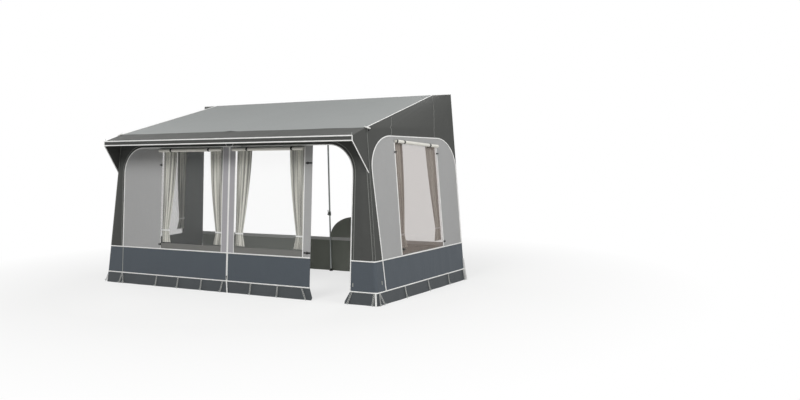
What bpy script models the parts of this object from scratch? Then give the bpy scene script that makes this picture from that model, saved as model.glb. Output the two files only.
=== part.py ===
"""Caravan awning: a sloping roof, windowed walls and a jointed pole frame.

The room stands on the ground with its open back against a flat side.
X runs along that side, Y points towards it and Z is up, in metres.
The origin is on the ground, in the middle of the space that it fills.
"""
import math

import bmesh
import bpy
from mathutils import Matrix, Vector

# Outline of the room
RAIL_HEIGHT = 2.45
GROUND_DEPTH = 2.03
REAR_GROUND_WIDTH = 4.60
EAVE_HEIGHT = 2.004
EAVE_SETBACK = 0.173

# How far each side draws in towards the front, the eave and the rail
FRONT_TAPER = 0.13
EAVE_TAPER = 0.21
ROOF_TAPER = 0.086
WING_TAPER = 0.165

# Front canopy
CANOPY_REACH = 0.119
CANOPY_DROP = 0.09
CANOPY_TAPER = 0.004
VALANCE_DROP = 0.054
GUSSET_DROP = 0.51

# Cloth, film and the space left between neighbours
CLOTH = 0.002
FILM = 0.001
GAP = 0.0003
BEAD_RADIUS = 0.0035
PIPING_RADIUS = 0.004

# Bands along the foot of the walls
SKIRT_TOP = 0.494
SKIRT_BOTTOM = 0.146

# Front arch, centre zip, door and windows
WALL_HEAD_DROP = 0.049
ARCH_BORDER = 0.115
ARCH_RADIUS = 0.335
LEFT_CORNER_WIDTH = 0.258
RIGHT_CORNER_WIDTH = 0.318
DOOR_WIDTH = 0.565
ZIP_PLACE = -0.03
ZIP_BORDER = 0.10
LEFT_WINDOW_BORDER = 0.69
RIGHT_WINDOW_BORDER = 0.11
SILL_BORDER = 0.059
HEAD_BORDER = 0.04

# Side arch and window, with places counted back from the front wall's foot
SIDE_ARCH_FRONT = 0.19
SIDE_ARCH_MARGIN = 0.02
SIDE_ARCH_FRONT_DROP = 0.099
SIDE_ARCH_REAR_DROP = 0.134
SIDE_ARCH_RADIUS = 0.405
SIDE_SILL_BORDER = 0.012
SIDE_HEAD_BORDER = 0.04
SIDE_WINDOW_START_SHARE = 0.276
SIDE_WINDOW_END_SHARE = 0.757

# Where the side walls bend, along their depth, up to the eave and above it
DEPTH_BEND_SHARES = (0.25, 0.5, 0.75)
WALL_BEND_SHARES = (0.33, 0.67, 1)
ROOF_EDGE_BEND_SHARES = (0.3, 0.6, 0.85)
BAND_BEND_SHARES = (0, 0.5, 1)
MIDDLE_SHARE = 0.5

# Rolled window covers
ROLL_RADIUS = 0.022
ROLL_CLEARANCE = 0.0006
ROLL_DROP = 0.022
ROLL_OVERHANG = 0.033
ROLL_SHORTFALL = 0.010
SIDE_ROLL_RISE = 0.02

# Curtains and the tracks that they hang from
TRACK_DEPTH = 0.028
TRACK_HEIGHT = 0.010
TRACK_OVERHANG = 0.012
TRACK_CLEARANCE = 0.0005
TRACK_RISE = 0.015
SIDE_TRACK_RISE = 0.018
CURTAIN_CLOTH = 0.0015
CURTAIN_EDGE = 0.010
CURTAIN_HEAD_WIDTH = 0.235
SIDE_CURTAIN_HEAD_WIDTH = 0.17
CURTAIN_TIE_WIDTH = 0.115
CURTAIN_HEM_WIDTH = 0.15
CURTAIN_HEM_RISE = 0.032
CURTAIN_TIE_RISE = 0.155
CURTAIN_FOLD_DEPTH = 0.016
CURTAIN_TIE_DEPTH = 0.010
CURTAIN_FOLDS = 5
STEPS_PER_FOLD = 4
HANG_SHARES = (0, 0.3, 0.6, 0.85, 1)

# Skirt along the foot of the open back, and its wheel cover
DRAUGHT_SKIRT_HEIGHT = 0.487
WHEEL_COVER_PLACE = 0.60
WHEEL_COVER_WIDTH = 0.84
WHEEL_COVER_RISE = 0.30

# Poles
POLE_RADIUS = 0.0125
POLE_WALL = 0.0012
POLE_EDGE_INSET = 0.05
RAFTER_END_GAP = 0.012
CANOPY_POLE_SETBACK = 0.030
RAFTER_OVERRUN = 0.012
RUNNING_GAP = 0.0003
LEG_JOINT_HEIGHT = 0.80
LEG_OVERLAP = 0.25
REAR_UPRIGHT_PLACE = 0.20

# Clamps and feet
COLLAR_THICKNESS = 0.0065
COLLAR_LENGTH = 0.055
COLLAR_LIP = 0.006
LEVER_PLACE = 0.018
LEVER_HUB_RADIUS = 0.008
LEVER_WIDTH = 0.016
LEVER_LENGTH = 0.062
LEVER_THICKNESS = 0.005
FOOT_RADIUS = 0.026
FOOT_HEIGHT = 0.030
FOOT_FLOOR = 0.008
FOOT_SINK = 0.006
FOOT_CLEARANCE = 0.002
CORNER_CLEARANCE = 0.008
REAR_CLEARANCE = 0.005

# Zip slider
SLIDER_WIDTH = 0.013
SLIDER_LENGTH = 0.020
SLIDER_THICKNESS = 0.007
SLIDER_EDGE = 0.0015
PULL_WIDTH = 0.007
PULL_LENGTH = 0.034
PULL_THICKNESS = 0.002
PULL_OVERLAP = 0.007
SLIDER_RISE = 0.054

# Rubber peg ladders and pegs
LADDER_WIDTH = 0.018
LADDER_THICKNESS = 0.003
LADDER_END_HEIGHT = 0.010
LADDER_SPLAY = 0.028
LADDER_RUNG = 0.006
LADDER_RAIL = 0.004
LADDER_HOLES = 3
PEG_RADIUS = 0.003
PEG_HEAD_HEIGHT = 0.030
PEG_HOOK_REACH = 0.020
PEG_HOOK_DROP = 0.008

# Places of the ladders, as shares of the way from a front corner to the door, and of a side's depth
LEFT_LADDER_SHARES = (0.087, 0.276, 0.388, 0.506, 0.609, 0.742, 0.863, 0.981)
RIGHT_LADDER_SHARES = (0.098, 0.915)
SIDE_LADDER_SHARES = (0.015, 0.28, 0.54, 0.784, 0.985)

# How finely the curves are drawn
ARC_STEPS = 8
ROUND_SIDES = 16
STEP_SHARE = 0.01

# Widths and slopes of the room
FRONT_GROUND_WIDTH = REAR_GROUND_WIDTH - 2 * FRONT_TAPER
EAVE_WIDTH = FRONT_GROUND_WIDTH - 2 * EAVE_TAPER
ROOF_RAIL_WIDTH = EAVE_WIDTH - 2 * ROOF_TAPER
WING_RAIL_WIDTH = REAR_GROUND_WIDTH - 2 * WING_TAPER
FRONT_LEAN = EAVE_SETBACK / EAVE_HEIGHT
SIDE_LEAN = EAVE_TAPER / EAVE_HEIGHT
ROOF_PITCH = math.atan2(RAIL_HEIGHT - EAVE_HEIGHT, GROUND_DEPTH - EAVE_SETBACK)
WALL_EAVE = EAVE_HEIGHT - (CLOTH + GAP) / math.cos(ROOF_PITCH)
FRONT_ANGLE = math.atan(FRONT_LEAN)
MIDDLE_DEPTH = (GROUND_DEPTH + BEAD_RADIUS - CANOPY_REACH) / 2
UP_FRONT = Vector((0, math.sin(FRONT_ANGLE), math.cos(FRONT_ANGLE)))
OUT_FRONT = Vector((0, -math.cos(FRONT_ANGLE), math.sin(FRONT_ANGLE)))

# Canopy
CANOPY_HEIGHT = EAVE_HEIGHT - CANOPY_DROP
CANOPY_WIDTH = EAVE_WIDTH - 2 * CANOPY_TAPER
CANOPY_PITCH = math.atan2(CANOPY_DROP, EAVE_SETBACK + CANOPY_REACH)
GUSSET_FOOT_HEIGHT = EAVE_HEIGHT - GUSSET_DROP

# Edges of the arch, the door and the front windows
WALL_HEAD = EAVE_HEIGHT - WALL_HEAD_DROP
ARCH_TOP = WALL_HEAD - ARCH_BORDER
SKIRT_HALF_WIDTH = FRONT_GROUND_WIDTH / 2 - SIDE_LEAN * SKIRT_TOP
ARCH_LEFT = LEFT_CORNER_WIDTH - SKIRT_HALF_WIDTH
DOOR_RIGHT = SKIRT_HALF_WIDTH - RIGHT_CORNER_WIDTH
DOOR_LEFT = DOOR_RIGHT - DOOR_WIDTH
LEFT_WINDOW = (ARCH_LEFT + LEFT_WINDOW_BORDER, ZIP_PLACE - ZIP_BORDER)
RIGHT_WINDOW = (ZIP_PLACE + ZIP_BORDER, DOOR_LEFT - RIGHT_WINDOW_BORDER)
WINDOW_SILL = SKIRT_TOP + SILL_BORDER
WINDOW_HEAD = ARCH_TOP - HEAD_BORDER

# Edges of the side arch and window
SIDE_ARCH_FRONT_TOP = EAVE_HEIGHT - SIDE_ARCH_FRONT_DROP
SIDE_ARCH_REAR_TOP = EAVE_HEIGHT - SIDE_ARCH_REAR_DROP
SIDE_WINDOW_SILL = SKIRT_TOP + SIDE_SILL_BORDER
SIDE_WINDOW_HEAD = SIDE_ARCH_REAR_TOP - SIDE_HEAD_BORDER

# Places of the rolls, tracks and curtains
ROLL_HEIGHT = WINDOW_HEAD - ROLL_DROP
SIDE_ROLL_HEIGHT = SIDE_WINDOW_HEAD + SIDE_ROLL_RISE
TRACK_PLACE_HEIGHT = WINDOW_HEAD + TRACK_RISE
SIDE_TRACK_HEIGHT = SIDE_WINDOW_HEAD + SIDE_TRACK_RISE
CURTAIN_HEM_HEIGHT = WINDOW_SILL + CURTAIN_HEM_RISE
CURTAIN_TIE_HEIGHT = CURTAIN_HEM_HEIGHT + CURTAIN_TIE_RISE

# Tubes and where they stand
LOWER_LEG_RADIUS = POLE_RADIUS - POLE_WALL - RUNNING_GAP
COLLAR_RADIUS = POLE_RADIUS + COLLAR_THICKNESS
LEG_STANDOFF = CLOTH + FOOT_RADIUS + FOOT_CLEARANCE
LEG_INSET = FOOT_RADIUS + CORNER_CLEARANCE
REAR_UPRIGHT_STANDOFF = 2 * CLOTH + FOOT_RADIUS + REAR_CLEARANCE
SLIDER_REST_HEIGHT = SKIRT_BOTTOM + SLIDER_RISE


def make_collection(name):
    collection = bpy.data.collections.new(name)
    bpy.context.scene.collection.children.link(collection)
    return collection


def make_material(name, color, roughness, metallic=0.0, alpha=1.0):
    material = bpy.data.materials.new(name)
    material.use_nodes = True
    shader = material.node_tree.nodes["Principled BSDF"]
    shader.inputs["Base Color"].default_value = (*color, 1.0)
    shader.inputs["Roughness"].default_value = roughness
    shader.inputs["Metallic"].default_value = metallic
    shader.inputs["Alpha"].default_value = alpha
    return material


# Surfaces of the room, each a function from two numbers to a point

def centred(x, y, z):
    """Moves a point that is counted from the front wall's foot."""
    return Vector((x, y - MIDDLE_DEPTH, z))


def front_half_width(z):
    return FRONT_GROUND_WIDTH / 2 - SIDE_LEAN * z


def rear_half_width(z):
    share = z / RAIL_HEIGHT
    return REAR_GROUND_WIDTH / 2 - WING_TAPER * share


def front_point(x, z):
    return centred(x, FRONT_LEAN * z, z)


def side_front_edge(z):
    """Front edge of a side wall: the corner line, then the line just under the roof's edge."""
    if z <= WALL_EAVE:
        return front_half_width(z), FRONT_LEAN * z
    share = (z - WALL_EAVE) / (RAIL_HEIGHT - EAVE_HEIGHT)
    half_width = EAVE_WIDTH / 2 - ROOF_TAPER * share
    return half_width, EAVE_SETBACK + (GROUND_DEPTH - EAVE_SETBACK) * share


def side_point(share, z, side=1):
    """Point of a side wall, at a share of the way from its front edge to its rear edge."""
    front_x, front_y = side_front_edge(z)
    x = front_x + (rear_half_width(z) - front_x) * share
    y = front_y + (GROUND_DEPTH - front_y) * share
    return centred(side * x, y, z)


def side_share(y, z):
    """Share of the way back at which a side wall reaches the depth y."""
    front_y = side_front_edge(z)[1]
    return (y - front_y) / (GROUND_DEPTH - front_y)


def side_outward(share, z, side):
    """Direction that points out of a side wall."""
    along = side_point(share + STEP_SHARE, z) - side_point(share - STEP_SHARE, z)
    rise = side_point(share, z * (1 + STEP_SHARE)) - side_point(share, z * (1 - STEP_SHARE))
    outward = along.cross(rise).normalized()
    return Vector((side * outward.x, outward.y, outward.z))


def roof_point(x, y):
    return centred(x, y, EAVE_HEIGHT + (y - EAVE_SETBACK) * math.tan(ROOF_PITCH))


def canopy_point(x, y):
    return centred(x, y, EAVE_HEIGHT + (y - EAVE_SETBACK) * math.tan(CANOPY_PITCH))


# Making of objects

def add_object(name, mesh, material):
    thing = bpy.data.objects.new(name, mesh)
    parts.objects.link(thing)
    mesh.materials.clear()
    mesh.materials.append(material)
    return thing


def finish(thing, smooth_degrees=40):
    thing.data.shade_smooth()
    thing.data.set_sharp_from_angle(angle=math.radians(smooth_degrees))
    return thing


def mesh_of(thing):
    """Mesh of an object as its modifiers leave it, in world space; the object goes."""
    depsgraph = bpy.context.evaluated_depsgraph_get()
    mesh = bpy.data.meshes.new_from_object(thing.evaluated_get(depsgraph))
    mesh.transform(thing.matrix_world)
    old_data = thing.data
    bpy.data.objects.remove(thing, do_unlink=True)
    if isinstance(old_data, bpy.types.Curve):
        bpy.data.curves.remove(old_data)
    else:
        bpy.data.meshes.remove(old_data)
    return mesh


def arc(centre_x, centre_z, radius, start_degrees, end_degrees):
    points = []
    for step in range(ARC_STEPS + 1):
        degrees = start_degrees + (end_degrees - start_degrees) * step / ARC_STEPS
        angle = math.radians(degrees)
        points.append((centre_x + radius * math.cos(angle), centre_z + radius * math.sin(angle)))
    return points


def rectangle(left, right, bottom, top):
    return [(left, bottom), (right, bottom), (right, top), (left, top)]


def flat_curve(loops):
    curve = bpy.data.curves.new("outline", "CURVE")
    curve.dimensions = "2D"
    curve.fill_mode = "BOTH"
    for loop in loops:
        spline = curve.splines.new("POLY")
        spline.points.add(len(loop) - 1)
        spline.use_cyclic_u = True
        for point, (u, v) in zip(spline.points, loop):
            point.co = (u, v, 0, 1)
    outline = bpy.data.objects.new("outline", curve)
    guides.objects.link(outline)
    return outline


def sheet(name, loops, shape, thickness, material, u_cuts=(), v_cuts=(), flip=False, below=None):
    """Cloth or film cut to flat outlines, laid on a surface and given its thickness inwards.

    The outlines lie in two numbers, u and v, and shape turns them into a point.
    u_cuts and v_cuts are where the cloth may bend. below is a plane that trims its top.
    """
    mesh = mesh_of(flat_curve(loops))
    flat = bmesh.new()
    flat.from_mesh(mesh)
    bmesh.ops.remove_doubles(flat, verts=flat.verts, dist=GAP / 10)
    for cuts, normal in ((u_cuts, Vector((1, 0, 0))), (v_cuts, Vector((0, 1, 0)))):
        for cut in cuts:
            everything = flat.verts[:] + flat.edges[:] + flat.faces[:]
            bmesh.ops.bisect_plane(
                flat, geom=everything, dist=GAP / 10, plane_co=normal * cut, plane_no=normal
            )
    for vertex in flat.verts:
        vertex.co = shape(vertex.co.x, vertex.co.y)
    if below:
        everything = flat.verts[:] + flat.edges[:] + flat.faces[:]
        plane_point, plane_normal = below
        bmesh.ops.bisect_plane(
            flat, geom=everything, dist=GAP / 10, plane_co=plane_point, plane_no=plane_normal,
            clear_outer=True,
        )
    if flip:
        bmesh.ops.reverse_faces(flat, faces=flat.faces)
    flat.to_mesh(mesh)
    flat.free()
    return cloth(name, mesh, thickness, material)


def cloth(name, mesh, thickness, material):
    """Gives a surface its thickness. It is cut to triangles first, so that both faces bend alike."""
    surface = bmesh.new()
    surface.from_mesh(mesh)
    bmesh.ops.triangulate(surface, faces=surface.faces, quad_method="SHORT_EDGE")
    surface.to_mesh(mesh)
    surface.free()
    thing = add_object(name, mesh, material)
    thicken(thing, thickness)
    return finish(thing)


def thicken(thing, thickness):
    wall = thing.modifiers.new("thickness", "SOLIDIFY")
    wall.thickness = thickness
    wall.offset = -1
    wall.use_even_offset = True


def grid_sheet(name, columns, rows, shape, thickness, material, flip=False):
    """Cloth laid over a grid of numbered columns and rows, with its thickness inwards."""
    grid = bmesh.new()
    bmesh.ops.create_grid(grid, x_segments=columns, y_segments=rows, size=1)
    for vertex in grid.verts:
        column = round((vertex.co.x + 1) / 2 * columns)
        row = round((vertex.co.y + 1) / 2 * rows)
        vertex.co = shape(column, row)
    if flip:
        bmesh.ops.reverse_faces(grid, faces=grid.faces)
    mesh = bpy.data.meshes.new(name)
    grid.to_mesh(mesh)
    grid.free()
    return cloth(name, mesh, thickness, material)


def tube_curve(points, radius, sides_level=4, caps=True):
    curve = bpy.data.curves.new("tube", "CURVE")
    curve.dimensions = "3D"
    curve.bevel_depth = radius
    curve.bevel_resolution = sides_level
    curve.use_fill_caps = caps
    spline = curve.splines.new("POLY")
    spline.points.add(len(points) - 1)
    for point, place in zip(spline.points, points):
        point.co = (*place, 1)
    tube = bpy.data.objects.new("tube", curve)
    guides.objects.link(tube)
    return tube


def welded(mesh):
    joined = bmesh.new()
    joined.from_mesh(mesh)
    bmesh.ops.remove_doubles(joined, verts=joined.verts, dist=GAP / 10)
    joined.to_mesh(mesh)
    joined.free()
    return mesh


def pole(name, points, material):
    """Hollow tube, open at both ends."""
    mesh = mesh_of(tube_curve(points, POLE_RADIUS, caps=False))
    thing = add_object(name, welded(mesh), material)
    thicken(thing, POLE_WALL)
    return finish(thing)


def rod_mesh(points, radius, sides_level):
    return welded(mesh_of(tube_curve(points, radius, sides_level)))


def turned(name, profile, frame, material, ground=None):
    """Solid of revolution. The profile is (radius, height) and frame places its axis."""
    mesh = bpy.data.meshes.new(name)
    edge = bmesh.new()
    vertices = [edge.verts.new((radius, 0, height)) for radius, height in profile]
    for first, second in zip(vertices, vertices[1:]):
        edge.edges.new((first, second))
    if profile[0][0] > 0:
        edge.edges.new((vertices[-1], vertices[0]))
    edge.to_mesh(mesh)
    edge.free()
    thing = add_object(name, mesh, material)
    spin = thing.modifiers.new("turn", "SCREW")
    spin.steps = ROUND_SIDES
    spin.render_steps = ROUND_SIDES
    spin.use_merge_vertices = True
    spin.merge_threshold = GAP / 10
    thing.matrix_world = frame
    bpy.context.view_layer.update()
    if ground is None:
        return finish(thing)
    mesh = mesh_of(thing)
    cut = bmesh.new()
    cut.from_mesh(mesh)
    everything = cut.verts[:] + cut.edges[:] + cut.faces[:]
    result = bmesh.ops.bisect_plane(
        cut, geom=everything, dist=GAP / 10, plane_co=(0, 0, ground), plane_no=(0, 0, 1), clear_inner=True
    )
    rim = [item for item in result["geom_cut"] if isinstance(item, bmesh.types.BMEdge)]
    bmesh.ops.contextual_create(cut, geom=rim)
    cut.to_mesh(mesh)
    cut.free()
    cut_thing = add_object(name, mesh, material)
    return finish(cut_thing)


def frame_on(origin, up, towards):
    """Placing matrix whose Z runs along up and whose X leans towards a direction."""
    axis = up.normalized()
    side = (towards - axis * towards.dot(axis)).normalized()
    turned_axes = Matrix((side, axis.cross(side), axis)).transposed().to_4x4()
    return Matrix.Translation(origin) @ turned_axes


# Front wall

def half_trim(z):
    """Half width of the front wall, which stops inside the side walls."""
    return front_half_width(z) - CLOTH - 2 * GAP


def front_surround():
    """Dark corners and head of the front, in one piece round the big arch."""
    base = SKIRT_TOP + GAP
    left = ARCH_LEFT - GAP
    right = DOOR_RIGHT
    outline = [(-half_trim(base), base), (left, base)]
    outline += arc(left + ARCH_RADIUS, ARCH_TOP - ARCH_RADIUS, ARCH_RADIUS, 180, 90)
    outline += arc(right - ARCH_RADIUS, ARCH_TOP - ARCH_RADIUS, ARCH_RADIUS, 90, 0)
    outline += [(right, base), (half_trim(base), base)]
    outline += [(half_trim(WALL_HEAD), WALL_HEAD), (-half_trim(WALL_HEAD), WALL_HEAD)]
    return sheet("front_surround", [outline], front_point, CLOTH, dark_cloth)


def front_panel(name, window, left, right, rounded):
    """Light panel with a window cut out of it."""
    base = SKIRT_TOP + GAP
    head = ARCH_TOP - GAP
    if rounded:
        outline = [(right, base), (right, head)]
        outline += arc(left + ARCH_RADIUS, head - ARCH_RADIUS, ARCH_RADIUS, 90, 180)
        outline += [(left, base)]
    else:
        outline = rectangle(left, right, base, head)
    return sheet(name, [outline, window], front_point, CLOTH, light_cloth)


def film(name, window, shape, flip=False, u_cuts=()):
    (left, bottom), (right, top) = window[0], window[2]
    return sheet(
        name, [rectangle(left, right, bottom, top)], shape, FILM, clear_film, u_cuts=u_cuts, flip=flip
    )


def inset(window, edge_u, edge_v):
    (left, bottom), (right, top) = window[0], window[2]
    return rectangle(left + edge_u, right - edge_u, bottom + edge_v, top - edge_v)


def front_walls():
    front_surround()
    left_window = rectangle(*LEFT_WINDOW, WINDOW_SILL, WINDOW_HEAD)
    right_window = rectangle(*RIGHT_WINDOW, WINDOW_SILL, WINDOW_HEAD)
    front_panel("front_left_panel", left_window, ARCH_LEFT, ZIP_PLACE - GAP / 2, True)
    front_panel("front_right_panel", right_window, ZIP_PLACE + GAP / 2, DOOR_LEFT, False)
    film("front_left_window", inset(left_window, GAP, GAP), front_point)
    film("front_right_window", inset(right_window, GAP, GAP), front_point)


# Side walls

def side_bends():
    """Places where a side wall bends, as shares of its depth and as heights."""
    heights = [SKIRT_TOP + (WALL_EAVE - SKIRT_TOP) * share for share in WALL_BEND_SHARES]
    heights += [WALL_EAVE + (RAIL_HEIGHT - EAVE_HEIGHT) * share for share in ROOF_EDGE_BEND_SHARES]
    return DEPTH_BEND_SHARES, heights


def side_arch(edge):
    """Outline of the side arch, drawn smaller by edge, from its front foot to its rear foot."""
    base = SKIRT_TOP + GAP
    radius = SIDE_ARCH_RADIUS - edge
    front = SIDE_ARCH_FRONT + SIDE_ARCH_RADIUS
    rear = GROUND_DEPTH - SIDE_ARCH_MARGIN - SIDE_ARCH_RADIUS
    places = [(SIDE_ARCH_FRONT + edge, base)]
    places += arc(front, SIDE_ARCH_FRONT_TOP - SIDE_ARCH_RADIUS, radius, 180, 90)
    places += arc(rear, SIDE_ARCH_REAR_TOP - SIDE_ARCH_RADIUS, radius, 90, 0)
    places += [(GROUND_DEPTH - SIDE_ARCH_MARGIN - edge, base)]
    return [(side_share(y, z), z) for y, z in places]


def side_wall(name, side):
    """Dark frame of a side, from the band up to the roof, with the rear wing."""
    base = SKIRT_TOP + GAP
    head = RAIL_HEIGHT - 2 * BEAD_RADIUS - GAP
    outline = [(0, base)] + side_arch(0) + [(1, base), (1, head), (0, head)]
    u_cuts, v_cuts = side_bends()
    return sheet(
        name, [outline], lambda u, v: side_point(u, v, side), CLOTH, dark_cloth,
        u_cuts=u_cuts, v_cuts=v_cuts, flip=side < 0,
    )


def side_window():
    return rectangle(SIDE_WINDOW_START_SHARE, SIDE_WINDOW_END_SHARE, SIDE_WINDOW_SILL, SIDE_WINDOW_HEAD)


def side_panel(name, side):
    u_cuts, v_cuts = side_bends()
    return sheet(
        name, [side_arch(GAP), side_window()], lambda u, v: side_point(u, v, side), CLOTH, light_cloth,
        u_cuts=u_cuts, v_cuts=v_cuts, flip=side < 0,
    )


def side_walls():
    for label, side in (("left", -1), ("right", 1)):
        side_wall(f"{label}_side_wall", side)
        side_panel(f"{label}_side_panel", side)
        edge_share = GAP / GROUND_DEPTH
        opening = inset(side_window(), edge_share, GAP)
        film(
            f"{label}_side_window", opening, lambda u, v, side=side: side_point(u, v, side),
            flip=side < 0, u_cuts=side_bends()[0],
        )


# Roof, canopy, valance and gussets

def roof():
    rear = GROUND_DEPTH - BEAD_RADIUS - GAP
    outline = [
        (-EAVE_WIDTH / 2, EAVE_SETBACK), (EAVE_WIDTH / 2, EAVE_SETBACK),
        (ROOF_RAIL_WIDTH / 2, rear), (-ROOF_RAIL_WIDTH / 2, rear),
    ]
    return sheet("roof_panel", [outline], roof_point, CLOTH, roof_cloth)


def canopy():
    rear = EAVE_SETBACK - GAP
    outline = [
        (-CANOPY_WIDTH / 2, -CANOPY_REACH), (CANOPY_WIDTH / 2, -CANOPY_REACH),
        (EAVE_WIDTH / 2, rear), (-EAVE_WIDTH / 2, rear),
    ]
    return sheet("canopy_panel", [outline], canopy_point, CLOTH, dark_cloth)


def valance():
    half = CANOPY_WIDTH / 2 - CLOTH - GAP
    head = CANOPY_HEIGHT - CLOTH / math.cos(CANOPY_PITCH) - GAP
    outline = rectangle(-half, half, CANOPY_HEIGHT - VALANCE_DROP, head)
    return sheet("front_valance", [outline], lambda u, v: centred(u, -CANOPY_REACH, v), CLOTH, dark_cloth)


def gusset(name, side):
    """Triangle that closes the end of the canopy, down to its foot on the corner."""
    foot = GUSSET_FOOT_HEIGHT
    eave = Vector((EAVE_WIDTH / 2, EAVE_SETBACK, EAVE_HEIGHT))
    tip = Vector((CANOPY_WIDTH / 2, -CANOPY_REACH, CANOPY_HEIGHT))
    low = Vector((front_half_width(foot), FRONT_LEAN * foot, foot))
    normal = (tip - eave).cross(low - eave)

    def on_plane(u, v):
        x = eave.x - (normal.y * (u - eave.y) + normal.z * (v - eave.z)) / normal.x
        return centred(side * x, u, v)

    rear_foot = FRONT_LEAN * foot - GAP
    rear_head = EAVE_SETBACK - GAP
    outline = [
        (rear_foot, foot), (rear_head, EAVE_HEIGHT),
        (-CANOPY_REACH, CANOPY_HEIGHT), (-CANOPY_REACH, CANOPY_HEIGHT - VALANCE_DROP),
    ]
    under_canopy = canopy_point(0, EAVE_SETBACK) - Vector((0, 0, (CLOTH + GAP) / math.cos(CANOPY_PITCH)))
    canopy_normal = Vector((0, -math.sin(CANOPY_PITCH), math.cos(CANOPY_PITCH)))
    return sheet(
        name, [outline], on_plane, CLOTH, dark_cloth, flip=side < 0, below=(under_canopy, canopy_normal)
    )


# Bands along the ground

def wrapped_band(name, start, side, bottom, top, material):
    """Band that runs from a place on the front, round a corner and back along a side."""
    def shape(column, row):
        z = (bottom, top)[row]
        if column == 0:
            return front_point(start, z)
        return side_point(BAND_BEND_SHARES[column - 1], z, side)

    return grid_sheet(name, len(BAND_BEND_SHARES), 1, shape, CLOTH, material, flip=side < 0)


def bands():
    skirt_base = SKIRT_BOTTOM + GAP
    hem = CLOTH * (FRONT_LEAN + SIDE_LEAN)
    wrapped_band("left_skirt", ZIP_PLACE - GAP / 2, -1, skirt_base, SKIRT_TOP, skirt_cloth)
    outline = rectangle(ZIP_PLACE + GAP / 2, DOOR_LEFT, skirt_base, SKIRT_TOP)
    sheet("centre_skirt", [outline], front_point, CLOTH, skirt_cloth)
    wrapped_band("right_skirt", DOOR_RIGHT, 1, skirt_base, SKIRT_TOP, skirt_cloth)
    wrapped_band("left_mud_flap", DOOR_LEFT, -1, hem, SKIRT_BOTTOM, flap_cloth)
    wrapped_band("right_mud_flap", DOOR_RIGHT, 1, hem, SKIRT_BOTTOM, flap_cloth)


def draught_skirt():
    def half(z):
        return rear_half_width(z) - CLOTH - 3 * GAP

    head = DRAUGHT_SKIRT_HEIGHT
    outline = [(-half(0), 0), (half(0), 0), (half(head), head), (-half(head), head)]
    face = GROUND_DEPTH - CLOTH
    sheet("draught_skirt", [outline], lambda u, v: centred(u, face, v), CLOTH, flap_cloth)
    arch = []
    for step in range(2 * ARC_STEPS + 1):
        angle = math.pi * step / (2 * ARC_STEPS)
        x = WHEEL_COVER_PLACE + WHEEL_COVER_WIDTH / 2 * math.cos(angle)
        arch.append((x, head + GAP + WHEEL_COVER_RISE * math.sin(angle)))
    sheet("wheel_arch_cover", [arch], lambda u, v: centred(u, face, v), CLOTH, flap_cloth)


# Rolled covers, curtain tracks and curtains

def roll(name, start, end):
    mesh = rod_mesh([start, end], ROLL_RADIUS, 4)
    return finish(add_object(name, mesh, cover_cloth))


def rolls():
    outward = OUT_FRONT * (ROLL_RADIUS + ROLL_CLEARANCE)
    for label, window in (("left", LEFT_WINDOW), ("right", RIGHT_WINDOW)):
        start = front_point(window[0] - ROLL_OVERHANG, ROLL_HEIGHT) + outward
        end = front_point(window[1] - ROLL_SHORTFALL, ROLL_HEIGHT) + outward
        roll(f"front_{label}_cover_roll", start, end)
    for label, side in (("left", -1), ("right", 1)):
        ends = []
        for share in (SIDE_WINDOW_START_SHARE, SIDE_WINDOW_END_SHARE):
            normal = side_outward(share, SIDE_ROLL_HEIGHT, side)
            ends.append(side_point(share, SIDE_ROLL_HEIGHT, side) + normal * (ROLL_RADIUS + ROLL_CLEARANCE))
        roll(f"{label}_side_cover_roll", *ends)


def box_between(name, start, end, outward, depth, height, material):
    """Straight bar from start to end, depth thick along outward and height tall."""
    along = (end - start).normalized()
    up = outward.cross(along)
    if up.z < 0:
        up = -up
    placing = Matrix((along, outward, up)).transposed().to_4x4()
    placing.translation = (start + end) / 2
    bar = bmesh.new()
    bmesh.ops.create_cube(bar, size=1)
    bmesh.ops.scale(bar, vec=((end - start).length, depth, height), verts=bar.verts)
    bmesh.ops.transform(bar, matrix=placing, verts=bar.verts)
    bmesh.ops.recalc_face_normals(bar, faces=bar.faces)
    mesh = bpy.data.meshes.new(name)
    bar.to_mesh(mesh)
    bar.free()
    return finish(add_object(name, mesh, material))


def curtain(name, surface, inward, outer, towards, head_width, head):
    """Hanging curtain with its main folds, drawn in by a tie above its hem.

    outer is where its fixed edge hangs, and towards is the way that it reaches, 1 or -1.
    """
    rows = []
    for share in HANG_SHARES:
        z = head + (CURTAIN_TIE_HEIGHT - head) * share
        width = head_width + (CURTAIN_TIE_WIDTH - head_width) * share * share
        depth = CURTAIN_FOLD_DEPTH + (CURTAIN_TIE_DEPTH - CURTAIN_FOLD_DEPTH) * share * share
        rows.append((z, width, depth))
    middle = (CURTAIN_TIE_HEIGHT + CURTAIN_HEM_HEIGHT) / 2
    rows.append((middle, (CURTAIN_TIE_WIDTH + CURTAIN_HEM_WIDTH) / 2, CURTAIN_FOLD_DEPTH))
    rows.append((CURTAIN_HEM_HEIGHT, CURTAIN_HEM_WIDTH, CURTAIN_FOLD_DEPTH))
    rows.reverse()
    columns = CURTAIN_FOLDS * STEPS_PER_FOLD
    away = CLOTH + TRACK_CLEARANCE + TRACK_DEPTH / 2

    def shape(column, row):
        z, width, depth = rows[row]
        across = column / columns
        if towards < 0:
            across = 1 - across
        wave = depth / 2 * math.sin(2 * math.pi * CURTAIN_FOLDS * across)
        return surface(outer + towards * width * across, z) + inward * (away + wave)

    thing = grid_sheet(name, columns, len(rows) - 1, shape, CURTAIN_CLOTH, curtain_cloth)
    set_origin(thing, surface(outer, head) + inward * away)
    return thing


def set_origin(thing, point):
    thing.data.transform(Matrix.Translation(-point))
    thing.location = point


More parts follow.
